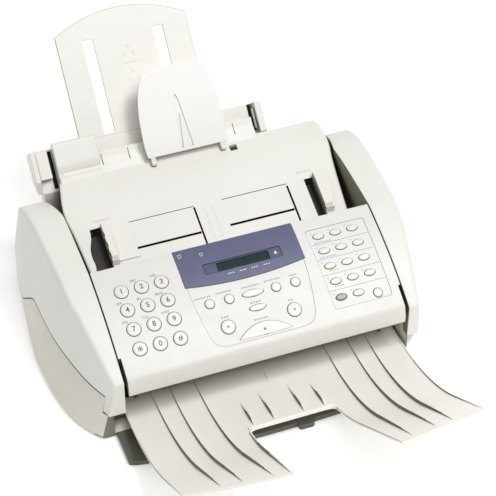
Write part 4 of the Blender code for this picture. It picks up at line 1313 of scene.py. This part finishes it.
def document_half(t):
    return along([(0.0, 0.0410), (0.015, 0.0435), (0.045, 0.0432), (0.067, 0.0402), (0.083, 0.0352),
                  (0.0935, 0.0300)], t)


def document_point(t, lift):
    return (DOC_Y + t * math.cos(DOC_LEAN) - lift * math.sin(DOC_LEAN),
            DOC_Z + t * math.sin(DOC_LEAN) + lift * math.cos(DOC_LEAN))


def make_document_support():
    """Tapered rest with curved sides, a low arched top and a pressed wedge in its face."""
    rows = steps(0.0, 1.0, 26)
    columns = steps(-1.0, 1.0, 28)
    top = []
    bottom = []
    for row in rows:
        for column in columns:
            crown = DOC_HEIGHT - 0.0042 * column ** 2 - 0.0012 * max(0.0, -column)
            t = lerp(DOC_FOOT, crown, row)
            x = DOC_CENTRE + column * document_half(min(max(t, 0.0), 0.0935))
            bow = 0.0006 * (1.0 - column ** 2)
            for store, lift in ((top, DOC_THICK / 2 - 0.0006 + bow), (bottom, -DOC_THICK / 2)):
                y, z = document_point(t, lift)
                store.append((x, y, z))
    width = len(columns)
    faces = []
    for row in range(len(rows) - 1):
        for column in range(width - 1):
            a = row * width + column
            faces.append((a, a + 1, a + width + 1, a + width))
    rest = thick_sheet("document_rest", faces, top, bottom)
    bevel(rest, 0.0007, 3, 50.0)
    for side in (-1, 1):
        x = DOC_CENTRE + side * 0.0372
        lug = [document_point(t, lift) for t, lift in
               ((0.0, 0.0005), (0.0, -0.0009), (0.0120, -0.0009), (0.0120, 0.0005))]
        fuse(rest, prism_x("lug", lug, x - 0.0024, x + 0.0024))
        knuckle = [(x - 0.0026, 0.0016), (x - 0.0019, 0.0023), (x + 0.0019, 0.0023), (x + 0.0026, 0.0016)]
        fuse(rest, bar_x("knuckle", (DOC_Y, DOC_Z), knuckle, 32))
    wedge = [(-0.0037, 0.0650), (-0.0012, 0.0600), (0.0055, 0.0095), (0.0012, 0.0095), (-0.0026, 0.0440),
             (-0.0052, 0.0095), (-0.0080, 0.0095), (-0.0050, 0.0600)]
    cut(rest, loft("wedge", [[(x, *document_point(t, lift)) for x, t in wedge]
                             for lift in (DOC_THICK / 2 - 0.0011, 0.01)]))
    put_on(rest, "document_rest", WHITE, ["document_support"], 34.0)
    paint(rest, SHELL, lambda at, facing: at.z < document_point(DOC_FOOT - 0.0010, 0.0)[1])


# ---------------------------------------------------------------- sheet feeder
def make_sheet_feeder():
    section = fillet([feed_point(FEED_HEIGHT, 0.0), feed_point(FEED_HEIGHT, FRAME_DEPTH), (0.1800, 0.1150),
                      (0.1612, 0.1150), feed_point(-0.0010, 0.0)], [0.0012, 0.0040, 0.0, 0.0, 0.0])
    feeder = prism_x("feeder_shell", section, FEED_LEFT, FEED_RIGHT, 0.0010)
    wall = fillet([(0.1617, 0.0520), (0.1786, 0.0520), (0.1786, 0.1200), (0.1617, 0.1200)],
                  [0.0, 0.0030, 0.0030, 0.0])
    fuse(feeder, prism_x("rear_wall", wall, -0.1515, 0.1515, 0.0010))
    ramp_section = feed_outline(rectangle(-0.0500, 0.0020, BACK_DEPTH - 0.001, 0.0190))
    fuse(feeder, prism_x("ramp", ramp_section, -0.1255, 0.0735))
    channel = feed_outline([(0.0500, -0.02), (0.0500, BACK_DEPTH), (-0.0600, BACK_DEPTH),
                            (-0.0600, -0.02)])
    cut(feeder, prism_x("channel", channel, -0.1534, 0.0817))
    near = SUPPORT_DEPTH - 0.0009
    far = SUPPORT_DEPTH + SUPPORT_THICK + GAP
    slot = feed_outline([(0.0500, near), (0.0500, far), (-0.0600, far), (-0.0600, near)])
    cut(feeder, prism_x("support_slot", slot, SUPPORT_CENTRE - SUPPORT_HALF - 0.0005,
                        SUPPORT_CENTRE + SUPPORT_HALF + 0.0005))
    track = feed_outline(rectangle(-0.0100, 0.0285, -0.0200, 0.0205))
    cut(feeder, prism_x("guide_track", track, -0.1399, -0.1356))
    groove = feed_outline(rectangle(0.0015, 0.0500, -0.0050, 0.0205))
    cut(feeder, prism_x("side_groove", groove, 0.0760, 0.0812))
    cut(feeder, box("wall_step", (FEED_RIGHT + 0.0006, 0.1600, 0.1060), (0.1600, 0.1850, 0.1300)))
    cut(feeder, box("wall_end", (0.1330, 0.1600, 0.0980), (0.1600, 0.1850, 0.1300)))
    marks = []
    for x in (-0.0830, -0.0780, 0.0600, 0.0650):
        chevron = [(x, 0.0205), (x + 0.0030, 0.0225), (x, 0.0245), (x, 0.0237),
                   (x + 0.0018, 0.0225), (x, 0.0213)]
        marks.append(loft("chevron", feed_rings(chevron, (BACK_DEPTH + 0.0006, BACK_DEPTH - 0.0003))))
    put_on(feeder, "machine", SHELL, ["sheet_feeder"], 34.0)
    # Painted shade: the side groove and the guide track are near-black inside.
    paint(feeder, DARK_AND_SHADE, lambda at, facing: 0.0755 < at.x < 0.0805 or -0.1402 < at.x < -0.1352)
    put_on(join("feeder_marks", marks), "machine", SHELL)
    teeth = [(0.0035, 0.0062), (0.0040, 0.0100), (0.0120, 0.0100), (0.0135, 0.0075), (0.0160, 0.0100),
             (0.0240, 0.0100), (0.0245, 0.0062)]
    latch = prism_x("feeder_latch", feed_outline(teeth), 0.0792, 0.0808)
    put_on(latch, "machine", SHELL)


def make_paper_support():
    outline = [(SUPPORT_CENTRE - SUPPORT_HALF, SUPPORT_BOTTOM),
               (SUPPORT_CENTRE + SUPPORT_HALF, SUPPORT_BOTTOM)]
    rise = SUPPORT_TOP - SUPPORT_CORNER
    for x in steps(SUPPORT_HALF, -SUPPORT_HALF, 40):
        outline.append((SUPPORT_CENTRE + x, SUPPORT_CORNER + rise * (1.0 - (x / SUPPORT_HALF) ** 2)))
    edge = 0.0006
    rings = []
    for depth, inset in ((SUPPORT_DEPTH, edge), (SUPPORT_DEPTH + edge * 0.3, edge * 0.3),
                         (SUPPORT_DEPTH + edge, 0.0), (SUPPORT_DEPTH + SUPPORT_THICK - edge, 0.0),
                         (SUPPORT_DEPTH + SUPPORT_THICK, edge)):
        rings.append([(x, *feed_point(t, depth)) for x, t in shrink(outline, inset)])
    plate = loft("paper_rest", rings)
    for side in (-1, 1):
        middle = SUPPORT_CENTRE + side * 0.0375
        corners = rounded(middle - 0.0057, middle + 0.0057, 0.0330, 0.1305, 0.0010)
        cut(plate, loft("slot", feed_rings(corners, (0.0, 0.03))))
    put_on(plate, "paper_rest", SHELL, ["paper_support"], 34.0)
    # Painted shade: the plate's rim and chamfers get a painted shadow tone.
    tilt = Vector((0.0, math.sin(FEED_LEAN), -math.cos(FEED_LEAN)))
    paint(plate, SIDE_SHADE, lambda at, facing: abs(facing.dot(tilt)) < 0.93)
    make_support_marks()


def make_support_marks():
    """Embossed dots and bars down the middle of the paper support."""
    marks = []
    for t in (0.1120, 0.0860, 0.0600):
        for dx, dt in ((-0.0045, -0.0036), (0.0045, -0.0036), (0.0, 0.0050)):
            rings = []
            for half_x, half_t, lift in ((0.0016, 0.0024, -0.0005), (0.0016, 0.0024, 0.0002),
                                         (0.0012, 0.0019, 0.0005)):
                ring = [(SUPPORT_CENTRE + 0.002 + dx + a, t + dt + b) for a, b in oval(half_x, half_t, 20)]
                rings += feed_rings(ring, [SUPPORT_DEPTH - lift])
            marks.append(loft("dot", rings))
    for t in (0.0990, 0.0730):
        bar = rectangle(SUPPORT_CENTRE - 0.0070, SUPPORT_CENTRE + 0.0110, t, t + 0.0010)
        marks.append(loft("bar", feed_rings(bar, (SUPPORT_DEPTH + 0.0005, SUPPORT_DEPTH - 0.0004))))
    put_on(join("paper_rest_marks", marks), "paper_rest", SHELL)


def make_paper_guide():
    section = fillet(rectangle(0.0005, 0.0300, 0.0046, BACK_DEPTH - GAP),
                     [0.0015, 0.0015, 0.0008, 0.0008])
    guide = prism_x("paper_stop_finished", feed_outline(section), -0.1526, -0.1402, 0.0006)
    put_on(guide, "paper_stop", SHELL, ["paper_guide"])


# ---------------------------------------------------------------- output tray
def tray_point(run):
    """(y, z, slope) of the tray's top, run metres in front of its rear edge."""
    y = TRAY_REAR - run
    curved = max(0.0, run - TRAY_FLAT)
    limit = TRAY_RADIUS * math.sin(TRAY_SLOPE)
    bent = min(curved, limit)
    z = TRAY_REAR_Z + TRAY_RADIUS - math.sqrt(TRAY_RADIUS ** 2 - bent ** 2)
    z += max(0.0, curved - limit) * math.tan(TRAY_SLOPE)
    return (y, z, math.asin(bent / TRAY_RADIUS))


def tray_front_run(x):
    share = max(0.0, (abs(x) - NOTCH_HALF_FRONT) / (TRAY_HALF - NOTCH_HALF_FRONT))
    return TRAY_LENGTH - 0.0240 * share ** 1.2


def notch_half(run):
    """Half width of the notch, with its rear corners rounded."""
    past = max(0.0, run - (TRAY_REAR - NOTCH_REAR))
    share = min(1.0, past / (TRAY_LENGTH + NOTCH_REAR - TRAY_REAR))
    turn = max(0.0, 1.0 - past / NOTCH_CORNER)
    return lerp(NOTCH_HALF_REAR, NOTCH_HALF_FRONT, share) - NOTCH_CORNER * (1.0 - math.sqrt(1.0 - turn ** 2))


def make_output_tray():
    notch_run = TRAY_REAR - NOTCH_REAR
    rear_rows = steps(0.0, 1.0, 18)
    front_rows = [0.004, 0.010, 0.020, 0.033] + steps(0.0, 1.0, 24)[1:]
    columns = 18
    top = []
    bottom = []

    def add(x, run):
        y, z, slope = tray_point(run)
        top.append((x, y, z))
        bottom.append((x, y - TRAY_THICK * math.sin(slope), z - TRAY_THICK * math.cos(slope)))

    rows = 0
    for share in rear_rows:
        run = lerp(-0.0095, notch_run, share)
        xs = steps(notch_half(notch_run), TRAY_HALF, columns)
        for x in [-value for value in reversed(xs)] + xs:
            add(x, run)
        rows += 1
    for share in front_rows:
        xs = [lerp(notch_half(lerp(notch_run, TRAY_LENGTH, share)), TRAY_HALF, i / columns)
              for i in range(columns + 1)]
        for x in [-value for value in reversed(xs)] + xs:
            add(x, lerp(notch_run, tray_front_run(x), share))
        rows += 1
    width = 2 * (columns + 1)
    faces = []
    for row in range(rows - 1):
        for column in range(width - 1):
            if column == columns and row >= len(rear_rows) - 1:
                continue
            a = row * width + column
            faces.append((a, a + width, a + width + 1, a + 1))
    tray = thick_sheet("scoop_tray", faces, top, bottom)
    bevel(tray, 0.0008, 3, 50.0)
    put_on(tray, "tray", TRAY, ["output_tray"], 40.0)


def tray_fin(name, x_at, run0, run1, height, half_width, peak=0.6, root=0.0):
    """A raised rib that follows the scoop and dies away at both ends."""
    rings = []
    for share in steps(0.0, 1.0, 30):
        run = lerp(run0, run1, share)
        y, z, slope = tray_point(run)
        up = (math.sin(slope), math.cos(slope))
        lobe = math.sin(math.pi * share ** (math.log(0.5) / math.log(peak))) ** 0.8
        rise = 0.0001 + height * max(0.0, lobe) + root * math.sqrt(max(0.0, 1.0 - share))
        section = []
        for across, lift in ((-1.0, -0.0012), (1.0, -0.0012), (1.0, rise * 0.75), (0.5, rise),
                             (-0.5, rise), (-1.0, rise * 0.75)):
            section.append((x_at(run) + half_width * across, lift))
        rings.append([(sx, y + up[0] * lift, z + up[1] * lift) for sx, lift in section])
    return loft(name, rings)


def make_tray_ribs():
    fins = []
    for side in (-1, 1):
        for rear_x, front_x, front_run in ((0.1120, 0.1090, 0.1895), (0.0930, 0.0905, 0.1945),
                                           (0.0680, 0.0650, 0.1995)):
            fins.append(tray_fin("rib", lambda run, a=rear_x, b=front_x: side * lerp(a, b, run / 0.2),
                                 -0.0090, front_run, 0.0026, 0.0005, 0.62, 0.0012))
        for x, run0 in ((0.0150, 0.0285), (0.0360, 0.0355)):
            fins.append(tray_fin("short_rib", lambda run, a=x: side * a, run0, 0.0755, 0.0038, 0.0009,
                                 0.66))
        fins.append(tray_fin("border", lambda run: side * (TRAY_HALF - 0.0010), 0.0100, 0.1830,
                             0.0018, 0.0008, 0.5))
    for side, height in ((-1, 0.0030), (1, 0.0008)):
        fins.append(tray_fin("notch_border", lambda run: side * (notch_half(run) + 0.0012),
                             0.0800, 0.2060, height, 0.0009, 0.4))
    fins.append(tray_fin("centre_rib", lambda run: 0.0, 0.0050, 0.0200, 0.0012, 0.0006, 0.5))
    rim = []
    y, z, _ = tray_point(TRAY_REAR - NOTCH_REAR - 0.0016)
    for x in steps(-NOTCH_HALF_REAR - 0.0005, NOTCH_HALF_REAR + 0.0005, 12):
        bow = 0.0006 * (1.0 - (x / NOTCH_HALF_REAR) ** 2)
        rim.append([(x, y + b, z + 0.0003 + bow + c) for b, c in oval(0.0017, 0.0013, 16)])
    fins.append(loft("notch_rim", rim))
    ribs = put_on(join("tray_ribs", fins), "tray", TRAY, (), 40.0)
    # Painted shade: the ribs' sides that face -x are painted dark brown.
    paint(ribs, RIB_SHADE, lambda at, facing: facing.x < -0.85)


# ---------------------------------------------------------------- inside
def roller(name, centre, radius, reach, tyres, tyre_width, body, node):
    shaft = 0.0030
    stations = [(-reach, shaft * 0.8), (-reach + 0.0006, shaft)]
    for middle in tyres:
        left = middle - tyre_width / 2
        right = middle + tyre_width / 2
        stations += [(left, shaft), (left + 0.0001, radius - 0.0006), (left + 0.0007, radius),
                     (right - 0.0007, radius), (right - 0.0001, radius - 0.0006), (right, shaft)]
    stations += [(reach - 0.0006, shaft), (reach, shaft * 0.8)]
    put_on(bar_x(name, centre, stations), body, RUBBER, [node])


def make_inside():
    roller("exit_roller_finished", EXIT_SHAFT, 0.0062, SHAFT_END, (-0.09, -0.03, 0.03, 0.09), 0.016,
           "exit", "exit_roller")
    roller("pickup_roller_finished", PICKUP_SHAFT, 0.0115, SHAFT_END, (-0.085, 0.015), 0.030,
           "pickup", "pickup_roller")
    roller("document_roller_finished", DOCUMENT_SHAFT, 0.0080, 0.1370, (-0.06, 0.0, 0.06), 0.028,
           "document_feed", "document_roller")
    stations = [(-SHAFT_END, 0.0034), (-SHAFT_END + 0.0006, 0.004), (SHAFT_END - 0.0006, 0.004),
                (SHAFT_END, 0.0034)]
    rod = bar_x("carriage_rod_finished", CARRIAGE_ROD, stations)
    put_on(rod, "machine", STEEL, ["carriage_rod"])
    kept = {"platen": DARK_AND_SHADE, "ink_carriage": DARK_AND_SHADE, "main_board": BOARD, "power_supply": STEEL,
            "jack_panel": DARK_AND_SHADE, "key_mat": RUBBER}
    for node, material in kept.items():
        piece = frame["nodes"][node]
        piece.data.materials.clear()
        piece.data.materials.append(material)


# ---------------------------------------------------------------- stage, lights and camera
def area_light(name, place, target, size, power):
    data = bpy.data.lights.new(name, "AREA")
    data.shape = "RECTANGLE"
    data.size = size[0]
    data.size_y = size[1]
    data.energy = power
    data.color = STUDIO_LIGHT
    lamp = linked(name, data)
    lamp.location = place
    lamp.rotation_mode = "QUATERNION"
    lamp.rotation_quaternion = (Vector(target) - Vector(place)).to_track_quat("-Z", "Y")


def make_stage():
    mesh = bpy.data.meshes.new("floor")
    rows = [(-6.0, 0.0), (2.6, 0.0)]
    for i in range(13):
        turn = math.pi / 2 * i / 12
        rows.append((2.6 + 1.2 * math.sin(turn), 1.2 - 1.2 * math.cos(turn)))
    rows.append((3.8, 6.0))
    verts = []
    for y, z in rows:
        verts += [(-6.0, y, z), (6.0, y, z)]
    faces = [(2 * i, 2 * i + 1, 2 * i + 3, 2 * i + 2) for i in range(len(rows) - 1)]
    mesh.from_pydata(verts, [], faces)
    mesh.shade_smooth()
    floor = linked("floor", mesh)
    floor.location.z = -0.0001
    made, _, shader = node_material("floor_paper")
    shader.inputs["Base Color"].default_value = (0.93, 0.93, 0.93, 1.0)
    shader.inputs["Roughness"].default_value = 0.9
    shader.inputs["Emission Color"].default_value = (1.0, 1.0, 1.0, 1.0)
    shader.inputs["Emission Strength"].default_value = FLOOR_GLOW
    mesh.materials.append(made)


def make_lights():
    target = (0.0, 0.0, 0.08)
    area_light("key", (0.62, -0.50, 2.05), target, (0.6, 0.6), 21.5)
    area_light("front", (0.05, -1.20, 2.00), target, (1.3, 0.8), 18.0)
    world = bpy.data.worlds.new("studio")
    world.use_nodes = True
    background = world.node_tree.nodes["Background"]
    background.inputs["Color"].default_value = WORLD_TINT
    background.inputs["Strength"].default_value = WORLD_STRENGTH
    bpy.context.scene.world = world


def make_camera():
    data = bpy.data.cameras.new("camera")
    data.lens = CAMERA_LENS
    data.sensor_width = 36.0
    data.clip_end = 50.0
    camera = linked("camera", data)
    camera.location = Vector(CAMERA_AT) + Vector((0.0, DATUM_Y, 0.0))
    camera.rotation_mode = "QUATERNION"
    camera.rotation_quaternion = Vector(CAMERA_DIRECTION).to_track_quat("-Z", "Y")
    bpy.context.scene.camera = camera
    bpy.context.scene.view_settings.view_transform = "Standard"


# ---------------------------------------------------------------- assembly
def main():
    make_camera()
    make_stage()
    make_lights()
    make_panel()
    make_panel_skins()
    make_display()
    make_keys()
    make_print()
    make_display_print()
    make_side_cover("left_cheek", -1, "left_side_cover")
    make_side_cover("right_cheek", 1, "right_side_cover")
    make_base()
    make_top_cover()
    make_pocket_liners()
    make_cover_marks()
    make_guides()
    make_document_support()
    make_sheet_feeder()
    make_paper_support()
    make_paper_guide()
    make_output_tray()
    make_tray_ribs()
    make_inside()


main()
